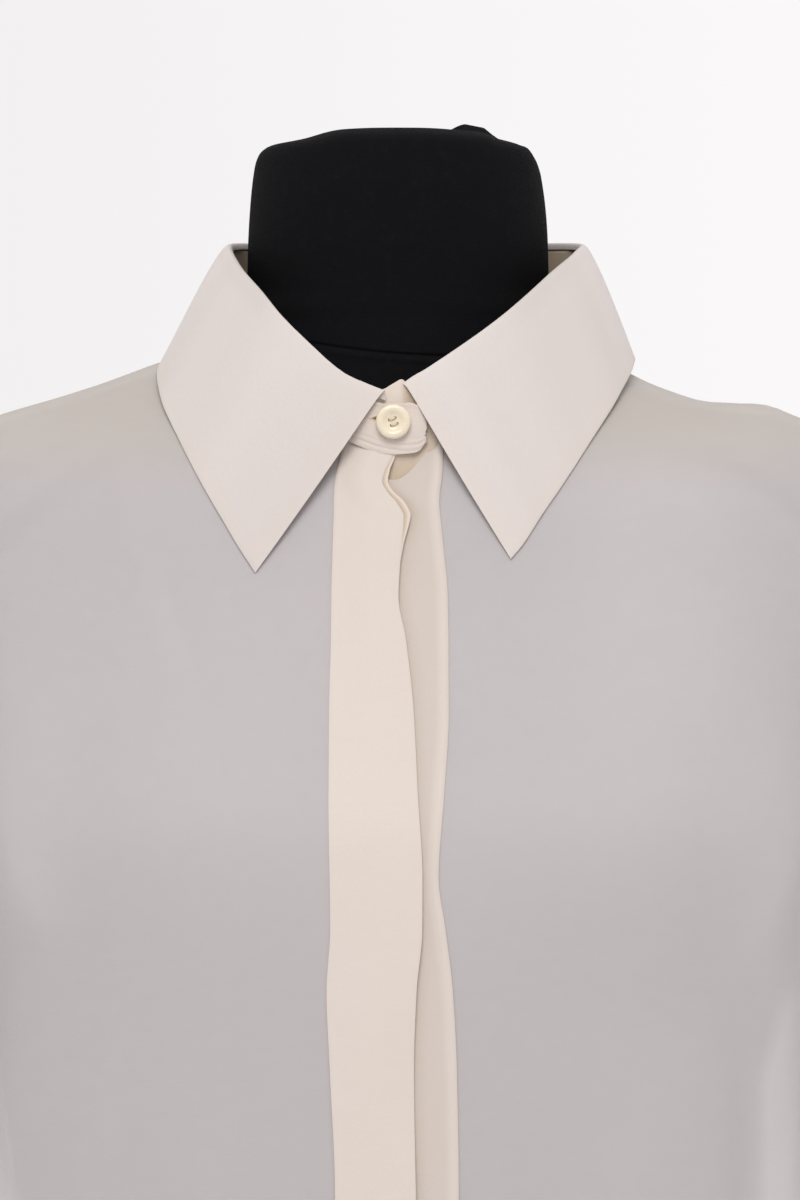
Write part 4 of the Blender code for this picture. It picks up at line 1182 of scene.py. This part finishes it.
def stand_bottom(turn, top):
    """The stand's lower edge, on the neckline under its upper edge; its under end hangs lower on the body."""
    near_front = ease((np.cos(turn) - math.cos(math.radians(70))) / 0.4)
    below = np.arcsin(np.clip(top[..., 0] / NECKLINE_HALF, -1, 1))
    round_turn = (turn + math.pi) % (2 * math.pi) - math.pi
    line = neckline(np.where(near_front > 0, round_turn + near_front * (below - round_turn), round_turn))
    dip = np.where(turn < math.pi / 2, under_end_dip(line[:, 0]), 0)
    line[:, 2] -= dip - CLOTH_LIFT - CLOTH_WALL + STAND_SUNK
    line[:, 1] -= dip * UNDER_END_LEAN + 0.0010 * (dip > 0.0001)
    return line


def corner(reach, radius):
    """How far a rounded corner cuts into an edge at a distance from the end."""
    inside = np.clip(radius - reach, 0, radius)
    return radius - np.sqrt(radius**2 - inside**2)


def stand_lapped(turn):
    """How far out the stand's last part lies, over its start."""
    return STAND_LAP * ramp(turn, math.radians(285), math.radians(62))


def collar_stand(silk):
    """The neck band: straight rows between its two edges, bulged a little, its far end moved out to lap."""
    close = (1 - np.cos(np.linspace(0, math.pi / 2, 40))) * math.radians(14)
    start = STAND_START + np.linspace(0, math.radians(24), 60)
    end = STAND_END - close[::-1]
    turn = np.concatenate([start, np.linspace(start[-1], end[0], 260)[1:-1], end])
    top = stand_top(turn)
    bottom = stand_bottom(turn, top)
    reach = (STAND_END - turn) * NECKLINE_HALF
    top[:, 2] -= corner(reach, STAND_TOP_CORNER)
    bottom[:, 2] += corner(reach, STAND_LOW_CORNER)
    lapped = stand_lapped(turn)
    share = np.linspace(1, 0, 34)[:, None]
    under = turn < math.pi / 2

    # The under end stands up between the leaf's ends, and the lapped end's upper edge falls towards its tip.
    rise = UNDER_END_RISE * (1 - ramp(top[:, 0], 0.0010, 0.0045))
    top[:, 2] += np.where(under, rise, -lapped * LAP_LOWER)
    top[:, 2] += np.where(under, 0.3 * np.clip(top[:, 0] + 0.0046, 0, 0.005), 0)
    falls = np.clip(-0.30 * (top[:, 0] + 0.0035), -0.0028, 0.0008)
    top[:, 2] += np.where(under, 0, falls * ramp(turn, math.radians(346), math.radians(5)))

    # The lapped end is creased under its top edge and beaded at its lower one; the under end sinks in.
    over_end = ramp(turn, math.radians(345), math.radians(8))
    creased = bell(share - 0.14, 0.12) * over_end
    pucker = 0.00022 * np.sin(share * 52 + 2.4 * np.sin(turn * 9)) * creased
    dip = np.where(under, under_end_dip(bottom[:, 0]), 0) / UNDER_END_DIP
    sunk = np.clip(dip * 1.6, 0, 1) * (1 - ramp(share, 0.10, 0.40))
    bead = 0.0004 * bell(1 - share, 0.06) * over_end
    sink = 0.0012 * sunk * np.sin(math.pi * np.clip(share * 2, 0, 1))
    bulge = 0.0005 * np.sin(math.pi * share) + lapped + pucker + bead - sink
    points = bottom + (top - bottom) * share[..., None] + circles(1.0, turn, 0.0) * bulge[..., None]

    # Painted shade browns the stand where its under end sinks in, on its inside at the back, under the leaf
    # and behind the lap. Painted light lightens the lapped end's bead, that inside and the under end's upper
    # left, which border also creams; border warms the lapped end a little.
    x = points[..., 0]
    behind = ramp(share, 0.72, 0.10)
    inside = ramp(turn, math.radians(30), math.radians(20)) * (1 - ramp(turn, math.radians(300), 0.3))
    in_corner = ramp(x, 0.0002, 0.0035)
    under_leaf = 0.45 * under * ramp(x, 0.0075, 0.004)
    behind_lap = (0.04 + 0.80 * in_corner) * under * behind
    hollow = np.clip(0.75 * sunk + inside + under_leaf + behind_lap, 0, 1)
    dim = -0.5 * over_end * bell(1 - share, 0.07) - 1.8 * inside - 0.35 * under * (1 - in_corner) * behind
    border = 0.3 * over_end + 0.9 * under * (1 - in_corner)
    piece = surface("silk_collar_stand", points, silk, border=border, hollow=hollow, dim=dim)
    return walled(piece, BAND_WALL, BAND_ROUNDING)


stand_band = collar_stand(band_silk)
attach(stand_band, "root")
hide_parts("collar_stand")


# ---- collar --------------------------------------------------------------------------------------
# The leaf: two layers of silk round a light interfacing, turned out and pressed, with long soft points. It is
# sewn between the stand's layers, rolls over and lies on the fronts, thicker where its seams lie inside.

COLLAR_WALL = 0.0007
COLLAR_SEAM = 0.0058
COLLAR_ROUNDING = 0.00034
LAID_SHARE = 0.97  # how much of its spare room over the body the leaf gives up
LAID_LESS = (0.60, 0.25)  # how much less from the shoulders to the back, on the wearer's left and right
LAID_CLEAR = 0.0008
OVER_BANDS = 0.0022
LEAF_START = math.radians(14)
LEAF_END = math.radians(346)


def laid(points, share, straight, behind):
    """Lowers the leaf onto the body: its outer edge by what is to spare there, and the rest of it by a share
    of that, more being kept over the bands. Where straight is 1 it moves back along Y to the body's section;
    where it is 0, along the normal of the plane through the places below and behind each point, or only by
    that movement's share along Y as far as the leaf faces the front."""
    x, y = points[..., 0], points[..., 1]
    drop = SHOULDER_Z - points[..., 2] + uneven(x, y)
    half, deep, square = read(BODY, "half", drop), how_deep(y < 0, drop), squareness(drop)
    plan = np.hypot(x, y)
    level = np.maximum(plan * (1 - 1 / np.sqrt((x / half) ** 2 + (y / deep) ** 2)), 1e-6)
    upright = np.maximum(drop_under(x, y) - drop, 1e-6)
    across = np.hypot(level, upright)
    keep = LAID_CLEAR + OVER_BANDS * (1 - ramp(np.abs(x + 0.002), 0.022, 0.008)) * (y < 0)
    spare = np.maximum(level * upright / across - keep, 0)
    step = np.minimum(spare[-1:] * share, spare) * (1 - straight)
    inward = np.stack([-x / plan * upright, -y / plan * upright, -level], axis=-1)[-1:] / across[-1:, :, None]
    section = -deep * (1 - np.clip(np.abs(x) / half, 0, 1) ** square) ** (1 / square)
    keep = 1.25 * keep + np.maximum(crease_height(FRONT_CREASES, x, drop), 0)
    spare = np.maximum(section - y - keep, 0)
    back = np.minimum(spare[-1:] * share, spare) * straight
    freely = np.stack([behind, np.ones_like(behind), behind], axis=-1)
    return points + inward * freely * step[..., None] + np.array([0, 1.0, 0]) * back[..., None]


def collar(silk):
    """A cubic Bezier across the leaf at each angle: from the stand's upper edge over the roll to the edge."""
    ends = (LEAF_START * (1 - np.cos(np.linspace(0, math.pi / 2, 34))))[:-1]
    turn = np.concatenate([ends, np.linspace(LEAF_START, LEAF_END, 260), (2 * math.pi - ends)[::-1]])
    turn = np.clip(turn, math.radians(0.01), math.radians(359.99))
    left, away = turn < math.pi, from_front(turn)
    edge = leaf_line(turn, "edge")
    out, up = circles(1.0, turn, 0.0), np.array([0, 0, 1.0])
    start = leaf_line(turn, "fold") - up * (FOLD_RISE - 2 * SEAM_GAP) + out * stand_lapped(turn)[:, None]
    fuller = in_front(turn)[:, None]
    first = start + up * (0.0056 + 0.0026 * fuller) + out * 0.0003
    second = start + up * (0.0017 + 0.0010 * fuller) + out * (0.0048 + 0.0012 * fuller)
    t = spaced((0, 0.22, 16), (0.24, 0.94, 36), (0.95, 1, 6))[:, None, None]
    points = (1 - t) ** 3 * start + 3 * t * (1 - t) ** 2 * first + 3 * t**2 * (1 - t) * second + t**3 * edge
    share = t[..., 0]

    borders = (edge, points[:, :1], points[:, -1:])
    from_edge = np.min([np.linalg.norm(points - line, axis=-1) for line in borders], axis=0)
    border = 1 - ramp(from_edge, COLLAR_SEAM, 0.0014)
    soft = 0.0003 * np.sin(turn * 5 + 1.1) * np.sin(math.pi * share) + 0.0001 * np.sin(turn * 17 + 3 * share)
    points = points + out * (soft * ease(from_edge / 0.010))[..., None]
    less = np.where(left, *LAID_LESS) * ramp(away, 40, 30)
    given_up = (LAID_SHARE - less) * np.clip((share - 0.15) / 0.85, 0, 1)
    points = laid(points, given_up, 1 - ramp(away, 46, 28), ramp(away, 72, 30))

    # Painted shading on the leaf: greyer from about 30 to 70 degrees round, more so near its roll, lighter
    # near the front on the wearer's left, and a little lighter all over.
    dim = 0.45 * ramp(away, 28, 20) * (1 - ramp(away, 64, 10))
    dim = dim + 0.35 * ramp(away, 34, 14) * (1 - ramp(share, 0.36, 0.2))
    dim = dim - 0.25 * (1 - ramp(away, 14, 8)) * left - 0.12
    piece = surface("silk_collar", points, silk, border=border, hollow=0, dim=dim)
    return walled(piece, COLLAR_WALL, COLLAR_ROUNDING)


collar_silk = doubled_crepe("silk of the collar", colour(0.742, 0.690, 0.672), colour(0.760, 0.690, 0.645))
leaf = collar(collar_silk)
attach(leaf, "root")
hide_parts("collar")


# ---- sleeves -------------------------------------------------------------------------------------
# Long one-piece sleeves of the single crepe, set into the armholes with their seam under the arm. They hang
# empty and flat, and a slight fulness is gathered into each cuff.

SLEEVE_END_DROP = 0.585
SLEEVE_RINGS_DROP = 0.300  # where the cap ends and the level rings begin
SLEEVE_FOLDS_GROWN = 0.86  # at this share of the way to its end its folds are deepest
SLEEVE_OVAL = 0.9  # the power that squares its ovals a little
ARM_ROUND = 0.060  # metres round the arm to a radian

# The left sleeve's level rings, in millimetres: their middle's place along X and Y, and half their width
# each way.
SLEEVE = table(
    "drop out along half_x half_y",
    (300, 204, 1, 27.0, 74.0),
    (350, 209, -1, 27.0, 71.0),
    (410, 215, -4, 26.5, 67.0),
    (470, 221, -8, 26.5, 64.0),
    (520, 227, -12, 26.5, 62.0),
    (555, 232, -15, 25.5, 58.0),
    (570, 234, -17, 22.5, 52.5),
    (580, 236, -18, 18.0, 46.0),
    (585, 236, -18, 18.0, 46.0),
    (650, 238, -20, 17.5, 45.0),
)
SLEEVE_FOLDS = table(
    FOLD,
    (20, 34, 4.0, 200, 30),
    (95, 40, 4.5, 260, -25),
    (165, 36, 3.0, 320, 20),
    (235, 42, 4.5, 240, -30),
    (300, 34, 3.5, 280, 25),
)
GATHERS = 26
GATHER_DEEP = 0.0011

# Creases of the sleeve, whose x is the way round the arm, from the top by the front, in degrees.
SLEEVE_CREASES = table(
    CREASE,
    (20, 96, 30, 60, 6.3, 2.4, 6),
    (64, 130, -24, 66, 7.2, -2.1, 7),
    (118, 180, 20, 70, 8.1, 2.7, -7),
    (170, 238, -38, 56, 7.2, -2.4, 6),
    (206, 214, 34, 60, 7.2, 2.2, 6),
    (262, 168, -22, 68, 8.1, 2.5, -6),
    (322, 120, 26, 62, 7.2, -2.2, 6),
    (40, 330, -30, 70, 8.1, 2.7, 6),
    (104, 372, 28, 66, 8.1, -2.5, -6),
    (188, 350, -26, 72, 9, 2.7, 7),
    (256, 392, 30, 66, 8.1, -2.4, -5),
    (334, 348, -24, 70, 8.1, 2.4, 6),
    (70, 470, 16, 70, 7.2, 2.7, -4),
    (150, 488, -14, 66, 7.2, -2.5, 5),
    (232, 500, 14, 62, 7.2, 2.7, -4),
    (312, 478, -16, 66, 7.2, -2.5, 4),
)


def armhole_loop(around, lift):
    """The left armhole's edge by the angle round the arm (0 on top, 90 in front), lifted off the body."""
    low = (1 - np.cos(around)) / 2
    drop = SHOULDER_TIP_DROP + (UNDERARM_DROP - SHOULDER_TIP_DROP) * low
    before = np.sin(around) >= 0
    turn = np.where(before, armhole_turn(drop, ARMHOLE_FRONT), math.pi - armhole_turn(drop, ARMHOLE_BACK))
    return on_body(turn, drop, lift)


def sleeve_ring(around, drop, lift=0.0):
    """A level ring of the hanging sleeve: a flattened oval round a middle that leans forward, with folds."""
    folds = fold_height(SLEEVE_FOLDS, around, drop, SLEEVE_END_DROP * SLEEVE_FOLDS_GROWN)
    lift = lift + folds * ease((SLEEVE_END_DROP - drop) / 0.060)
    half_x, half_y = (read(SLEEVE, name, drop) + lift for name in ("half_x", "half_y"))
    x = read(SLEEVE, "out", drop) + half_x * power(np.cos(around), SLEEVE_OVAL)
    y = read(SLEEVE, "along", drop) - half_y * power(np.sin(around), SLEEVE_OVAL)
    return np.stack([x, y, SHOULDER_Z - drop + np.zeros_like(x)], axis=-1)


def sleeve(side, which, silk):
    """A set-in sleeve: cubic curves round the cap from the armhole into level rings that hang to the cuff."""
    around = full_turn(156)[0]
    start = armhole_loop(around, CLOTH_LIFT - SEAM_DIP)
    end = sleeve_ring(around, SLEEVE_RINGS_DROP)
    below = (1 - np.cos(around)) / 2
    leave = unit(np.stack([0.95 - 0.15 * below, -0.10 * np.sin(around), -0.34 - 0.45 * below], axis=-1))
    down = np.array([0.06, 0, -1.0])
    span = np.linalg.norm(end - start, axis=-1, keepdims=True)
    t = np.linspace(0, 1, 72)[:, None, None]
    cap = (
        (1 + 2 * t) * (1 - t) ** 2 * start
        + t * (1 - t) ** 2 * (leave * span * 0.75)
        + t**2 * (3 - 2 * t) * end
        + t**2 * (t - 1) * (down * span * 0.9)
    )
    drop = spaced((0.303, 0.520, 70), (0.522, SLEEVE_END_DROP + 0.004, 44))[:, None]
    left = SLEEVE_END_DROP - drop
    gathered = np.exp(-(left / 0.030).clip(0)) * ease(left / 0.004)
    wavy = GATHERS * around + 1.6 * np.sin(5 * around) + 0.8 * np.sin(drop / 0.012)
    tucked = -0.0016 * ramp(drop - SLEEVE_END_DROP, -0.003, 0.003)
    rings = sleeve_ring(around[None, :], drop, GATHER_DEEP * np.sin(wavy) * gathered + tucked)
    points = np.concatenate([cap, rings])

    away = unit(points - points.mean(axis=1, keepdims=True))
    fall = SHOULDER_Z - points[..., 2]
    begin = np.linalg.norm(points - start, axis=-1)
    crease = crease_height(SLEEVE_CREASES, np.degrees(around)[None, :] * MM + 0 * fall, fall)
    crease = crease * ramp(begin, 0.004, 0.030) * ease((SLEEVE_END_DROP - fall) / 0.050)
    dip, doubled = seam_marks(np.abs(around - math.pi)[None, :] * ARM_ROUND + 0 * fall)
    points = points + away * (crease + dip * ease(begin / 0.010))[..., None]
    points[..., 0] *= side
    layers = np.maximum(doubled, 1 - ramp(begin, ALLOWANCE, 0.0012))
    # Painted crease shading on the sleeve: ridges less sheer and paler, troughs darker.
    marks = {"layers": layers, "dense": stood_off_with_crease_shade(1.5 * crease), "warm": 0}
    piece = surface(f"silk_sleeve_{which}", points, silk, ring=True, flip=side > 0, **marks)
    return walled(piece, CLOTH_WALL)


sleeves = {}
for side, which in SIDES:
    sleeves[which] = sleeve(side, which, sheer_silk)
    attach(sleeves[which], "root")
    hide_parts(f"sleeve_{which}")


# ---- cuffs ---------------------------------------------------------------------------------------
# Straight bands of doubled, interfaced silk, sewn to the gathered ends of the sleeves. Their ends lap at the
# back of the outer side, where each is buttoned.

CUFF_DEEP = 0.060
CUFF_LAP = math.radians(22)
CUFF_OPENING = math.radians(305)


def cuff(side, which, silk):
    """Rings of the sleeve's lower end, carried on past a full turn and moved out over its last half."""
    around = np.linspace(CUFF_OPENING - 2 * math.pi - CUFF_LAP, CUFF_OPENING, 190)[None, :]
    drop = np.linspace(SLEEVE_END_DROP - 0.001, SLEEVE_END_DROP + CUFF_DEEP, 26)[:, None]
    points = sleeve_ring(around, drop)
    lapped = (BAND_WALL + SEAM_GAP) * ramp(around - around[0, 0], math.pi, math.pi * 0.9)
    middle = np.stack([read(SLEEVE, "out", drop), read(SLEEVE, "along", drop), SHOULDER_Z - drop], axis=-1)
    away = unit(points - middle)
    soft = 0.0004 * np.sin(around * 9 + 2 * np.sin(drop / 0.02))
    soft = soft * np.sin(math.pi * (drop - SLEEVE_END_DROP) / CUFF_DEEP)
    points = points + away * (lapped + soft)[..., None]
    points[..., 0] *= side
    piece = surface(f"silk_cuff_{which}", points, silk, flip=side > 0, border=0, hollow=0, dim=0)
    outer = points + away * np.array([side, 1, 1]) * BAND_WALL
    for edge, row in (("upper", 1), ("lower", -2)):
        stitches(f"cuff_stitches_{edge}_{which}", outer[row, 4:-4], thread)
    return walled(piece, BAND_WALL, BAND_ROUNDING)


cuffs = {}
for side, which in SIDES:
    cuffs[which] = cuff(side, which, band_silk)
    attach(cuffs[which], "root")
    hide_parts(f"cuff_{which}")


# ---- buttons -------------------------------------------------------------------------------------
# Four-hole shirt buttons turned from polished cream plastic, with a dished middle and a raised rim, sewn on
# with two bars of silk thread. One closes the stand and one closes each cuff.

# The half section of a button, as shares of its radius: out from its axis, and up from its back.
BUTTON_PROFILE = (
    (0.0, 0.235),
    (0.30, 0.235),
    (0.40, 0.25),
    (0.50, 0.31),
    (0.58, 0.37),
    (0.66, 0.41),
    (0.76, 0.425),
    (0.86, 0.41),
    (0.94, 0.365),
    (0.985, 0.30),
    (1.0, 0.235),
    (0.97, 0.15),
    (0.88, 0.06),
    (0.76, 0.015),
    (0.60, 0.0),
    (0.0, 0.0),
)
HOLE_OUT = 0.24
HOLE_RADIUS = 0.086
HOLE_ALONG = HOLE_OUT * 0.707  # along either axis
THREAD_RADIUS = 0.00046
COLLAR_BUTTON_RADIUS = 0.00635
CUFF_BUTTON_RADIUS = 0.0057
COLLAR_BUTTON_X = -0.0017
COLLAR_BUTTON_DROP = 0.0313
COLLAR_BUTTON_TILT = math.radians(20)
FRONT_LEAN = math.radians(2)
BUTTONHOLE_TIP = -0.0106
BUTTONHOLE_HALF = 0.0014
BUTTONHOLE_DROP = 0.0300
BUTTONHOLE_LONG = 0.0088


def cream_plastic():
    """Polished casein-like plastic, clouded warm and pale."""
    finish = Finish("cream button", Coat_Weight=0.35, Coat_Roughness=0.12, Specular_IOR_Level=0.5)
    place = finish.place()
    cloud = finish.noise(place, 0.0042, 4.0, 0.6)
    tone = finish.mix(cloud, colour(0.90, 0.77, 0.56), colour(0.96, 0.88, 0.71))
    return finish.feed(
        Base_Color=tone,
        Roughness=0.22 + 0.10 * cloud,
        Normal=finish.bump(finish.noise(place, 0.0007, 2.0), 0.00001),
    )


def placed(points, place, normal, tilt):
    """Turns local points about Z by the tilt, stands their Z along the normal and moves them to the place."""
    normal = unit(np.array(normal, dtype=float))
    aside = unit(np.cross([0, 0, 1.0], normal))
    upward = np.cross(normal, aside)
    first = math.cos(tilt) * aside + math.sin(tilt) * upward
    second = -math.sin(tilt) * aside + math.cos(tilt) * upward
    return np.asarray(place) + points @ np.stack([first, second, normal])


def button(name, radius, place, normal, tilt, plastic):
    """The profile turned about the button's axis in 64 steps, with four round holes cut through."""
    line = np.array(BUTTON_PROFILE) * radius
    points = circles(line[:, :1], full_turn(64), line[:, 1:])
    piece = surface(name, placed(points, place, normal, tilt), plastic, ring=True, poles=True)
    reach = np.array([0, 1, 1, 0])[:, None] * radius * HOLE_RADIUS
    level = np.array([0.9, 0.9, -0.4, -0.4])[:, None] * radius
    for number in range(4):
        angle = math.radians(45 + 90 * number)
        spot = np.array([math.cos(angle), math.sin(angle), 0]) * radius * HOLE_OUT
        hole = circles(reach, full_turn(20), level) + spot
        cutter = surface("hole_cutter", placed(hole, place, normal, tilt), plastic, ring=True, poles=True)
        cut = piece.modifiers.new("hole", "BOOLEAN")
        cut.operation = "DIFFERENCE"
        cut.object = cutter
        whole = piece.evaluated_get(bpy.context.evaluated_depsgraph_get())
        mesh = bpy.data.meshes.new_from_object(whole)
        piece.modifiers.clear()
        piece.data = mesh
        bpy.data.objects.remove(cutter)
    piece.data.set_sharp_from_angle(angle=math.radians(40))
    return piece


def laced(path, size, name):
    """A tube along a path that starts and ends in a point."""
    ends = np.concatenate([[0, 0.7], np.ones(len(path) - 4), [0.7, 0]])
    return tube(name, path, size * ends, thread)


def thread_bars(name, radius, place, normal, tilt):
    """Two bars of thread across the button's middle, each an arch from one hole down into the next."""
    along = np.linspace(-1, 1, 22)
    arch = 0.225 + 0.075 * (1 - np.abs(along) ** 5) - 0.12 * np.abs(along) ** 12
    bars = []
    for number, offset in enumerate((-1, 1)):
        path = np.stack([along * HOLE_ALONG, offset * HOLE_ALONG + 0 * along, arch], axis=-1) * radius
        bars.append(laced(placed(path, place, normal, tilt), THREAD_RADIUS, f"{name}_thread_{number}"))
    return bars


def cuff_button_seat(side):
    """Half way down the end of the cuff that lies on top: the place and the way it faces."""
    around = CUFF_OPENING - CUFF_LAP * 0.5
    drop = SLEEVE_END_DROP + CUFF_DEEP / 2
    spots = sleeve_ring(np.array([around, around + 0.02]), np.array([drop, drop]))
    along = spots[1] - spots[0]
    normal = unit(np.array([-along[1], along[0], 0.0]))
    normal = normal * np.sign(normal[0])
    mirror = np.array([side, 1, 1])
    return (spots[0] + normal * (2 * BAND_WALL + 2 * SEAM_GAP)) * mirror, normal * mirror


def on_lap(x, drop):
    """Places on the outer face of the stand's lapped end: a bowed plane fitted to its points nearby."""
    def terms(x, z):
        return np.stack([np.ones_like(x), x, z - SHOULDER_Z, x * x], axis=-1)

    data = stand_band.data
    points = np.empty(len(data.vertices) * 3)
    data.vertices.foreach_get("co", points)
    points = points.reshape(-1, 3)
    outermost = points[:, 1] < -NECKLINE_FRONT - 0.6 * STAND_LAP
    nearby = np.hypot(points[:, 0] + 0.007, SHOULDER_Z - points[:, 2] - drop.mean()) < 0.007
    near = points[outermost & nearby]
    fitted = np.linalg.lstsq(terms(near[:, 0], near[:, 2]), near[:, 1], rcond=None)[0]
    z = SHOULDER_Z - drop
    return np.stack([x, terms(x, z) @ fitted - BAND_WALL, z], axis=-1)


def buttonhole(dark):
    """Two corded lips that meet in a tip, and between them a dark sheet painted as the shadow in the slot,
    drawn open by the button.
    """
    reach = np.linspace(0, BUTTONHOLE_LONG, 30)
    half = BUTTONHOLE_HALF * ease(reach / 0.0052) ** 0.7
    lips = np.concatenate([(BUTTONHOLE_DROP - half)[::-1], (BUTTONHOLE_DROP + half)[1:]])
    along = BUTTONHOLE_TIP + np.concatenate([reach[::-1], reach[1:]])
    cord = laced(on_lap(along, lips), THREAD_RADIUS * 0.55, "buttonhole_lips")
    across = np.linspace(-1, 1, 9)[:, None]
    slot_x = BUTTONHOLE_TIP + 0.0004 + reach[None, :] + 0 * across
    slot = on_lap(slot_x, BUTTONHOLE_DROP + half[None, :] * across)
    slot[..., 1] -= 0.00004
    return cord, walled(surface("buttonhole_slot_shadow", slot, dark), 0.00008)


def slot_dark():
    """The shaded inside of the slot: silk of the stand in shadow."""
    finish = Finish("inside of the buttonhole", Sheen_Weight=0.1)
    fray = finish.noise(finish.place(), 0.0006, 2.0)
    tone = finish.mix(fray, colour(0.16, 0.10, 0.05), colour(0.30, 0.20, 0.11))
    return finish.feed(Base_Color=tone, Roughness=0.8 + 0.1 * fray, Normal=finish.bump(fray, 0.00003))


plastic = cream_plastic()
for piece in buttonhole(slot_dark()):
    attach(piece, "root")
collar_y = -NECKLINE_FRONT - STAND_LAP - BAND_WALL - SEAM_GAP
collar_place = (COLLAR_BUTTON_X, collar_y, SHOULDER_Z - COLLAR_BUTTON_DROP)
collar_normal = (0, -math.cos(FRONT_LEAN), math.sin(FRONT_LEAN))
SEATS = (
    ("collar_button", COLLAR_BUTTON_RADIUS, collar_place, collar_normal, COLLAR_BUTTON_TILT),
    ("cuff_button_right", CUFF_BUTTON_RADIUS, *cuff_button_seat(-1), 0.0),
    ("cuff_button_left", CUFF_BUTTON_RADIUS, *cuff_button_seat(1), 0.0),
)
for node_name, radius, place, normal, tilt in SEATS:
    disc = button("cream_" + node_name, radius, place, normal, tilt, plastic)
    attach(disc, "root")
    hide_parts(node_name)
    for bar in thread_bars(node_name, radius, place, normal, tilt):
        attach(bar, "root")


# ---- floor, light and camera ---------------------------------------------------------------------
# A plain pale floor, a bright even backdrop with a dimmer room in front of it, and a large soft light from
# above and in front. The camera looks level from well away.

FLOOR_RADIUS = 2.6
ROOM = 0.42  # how bright the room is in front of the form
BACKDROP_LEFT = 0.885
BACKDROP_RIGHT = 0.965
BACKDROP_HALF = 0.12  # how far either way the backdrop's brightness changes, as a direction
BEHIND_FROM = -0.70
BEHIND_TO = 0.50
FRAME_TALL = 1200  # of the frame, and the lens's length and shift in the same pixels
FOCAL = 5288
SHIFT = 2
SENSOR = 36.0
EYE = (0.0, -2.0, 1.124)

floor_finish = Finish("pale floor", Specular_IOR_Level=0.2)
grain = floor_finish.noise(floor_finish.place(), 0.4, 3.0)
floor_finish.feed(
    Base_Color=floor_finish.mix(grain, colour(0.80, 0.79, 0.80), colour(0.84, 0.83, 0.84)),
    Roughness=0.85 + 0.1 * grain,
)
far = np.linspace(0, FLOOR_RADIUS, 12)[:, None]
floor = surface("floor", circles(far, full_turn(96), 0.0), floor_finish.material, ring=True, poles=True)


def rising(direction, start, end, low, high):
    """A value that eases from low to high as the direction goes from start to end."""
    sockets = {"Value": direction, "From Min": start, "From Max": end, "To Min": low, "To Max": high}
    return studio.node("ShaderNodeMapRange", sockets, interpolation_type="SMOOTHSTEP")


world = bpy.data.worlds.new("studio")
world.use_nodes = True
bpy.context.scene.world = world
studio = Nodes(world.node_tree)
direction = studio.node("ShaderNodeTexCoord", output="Generated")
sideways = studio.node("ShaderNodeSeparateXYZ", {0: direction}, output="X")
backdrop = rising(sideways, -BACKDROP_HALF, BACKDROP_HALF, BACKDROP_LEFT, BACKDROP_RIGHT)
behind = rising(sideways.beside("Y"), BEHIND_FROM, BEHIND_TO, 0.0, 1.0)
brightness = studio.node("ShaderNodeMix", {0: behind, 2: ROOM, 3: backdrop}, data_type="FLOAT")
glow = studio.tree.nodes["Background"]
glow.inputs["Color"].default_value = colour(1.0, 0.983, 0.992)
studio.tree.links.new(brightness.socket, glow.inputs["Strength"])


def area_light(name, place, aim, size, watts, tint):
    """A square soft light at a place, turned towards what it lights."""
    lamp = bpy.data.lights.new(name, "AREA")
    lamp.shape = "SQUARE"
    lamp.size = size
    lamp.energy = watts
    lamp.color = tint
    light = bpy.data.objects.new(name, lamp)
    light.location = place
    towards = Vector(aim) - Vector(place)
    light.rotation_euler = towards.to_track_quat("-Z", "Y").to_euler()
    bpy.context.scene.collection.objects.link(light)


area_light("key", (-0.15, -2.2, 3.1), (0, 0, 1.0), 1.6, 50.0, (1.0, 0.985, 0.965))

lens = bpy.data.cameras.new("camera")
lens.sensor_fit = "VERTICAL"
lens.sensor_height = SENSOR
lens.lens = FOCAL / FRAME_TALL * SENSOR
lens.shift_x = SHIFT / FRAME_TALL
lens.clip_start = 0.05
camera = bpy.data.objects.new("camera", lens)
camera.location = EYE
camera.rotation_euler = (math.pi / 2, 0, 0)
bpy.context.scene.collection.objects.link(camera)
bpy.context.scene.camera = camera
bpy.context.scene.view_settings.view_transform = "Standard"
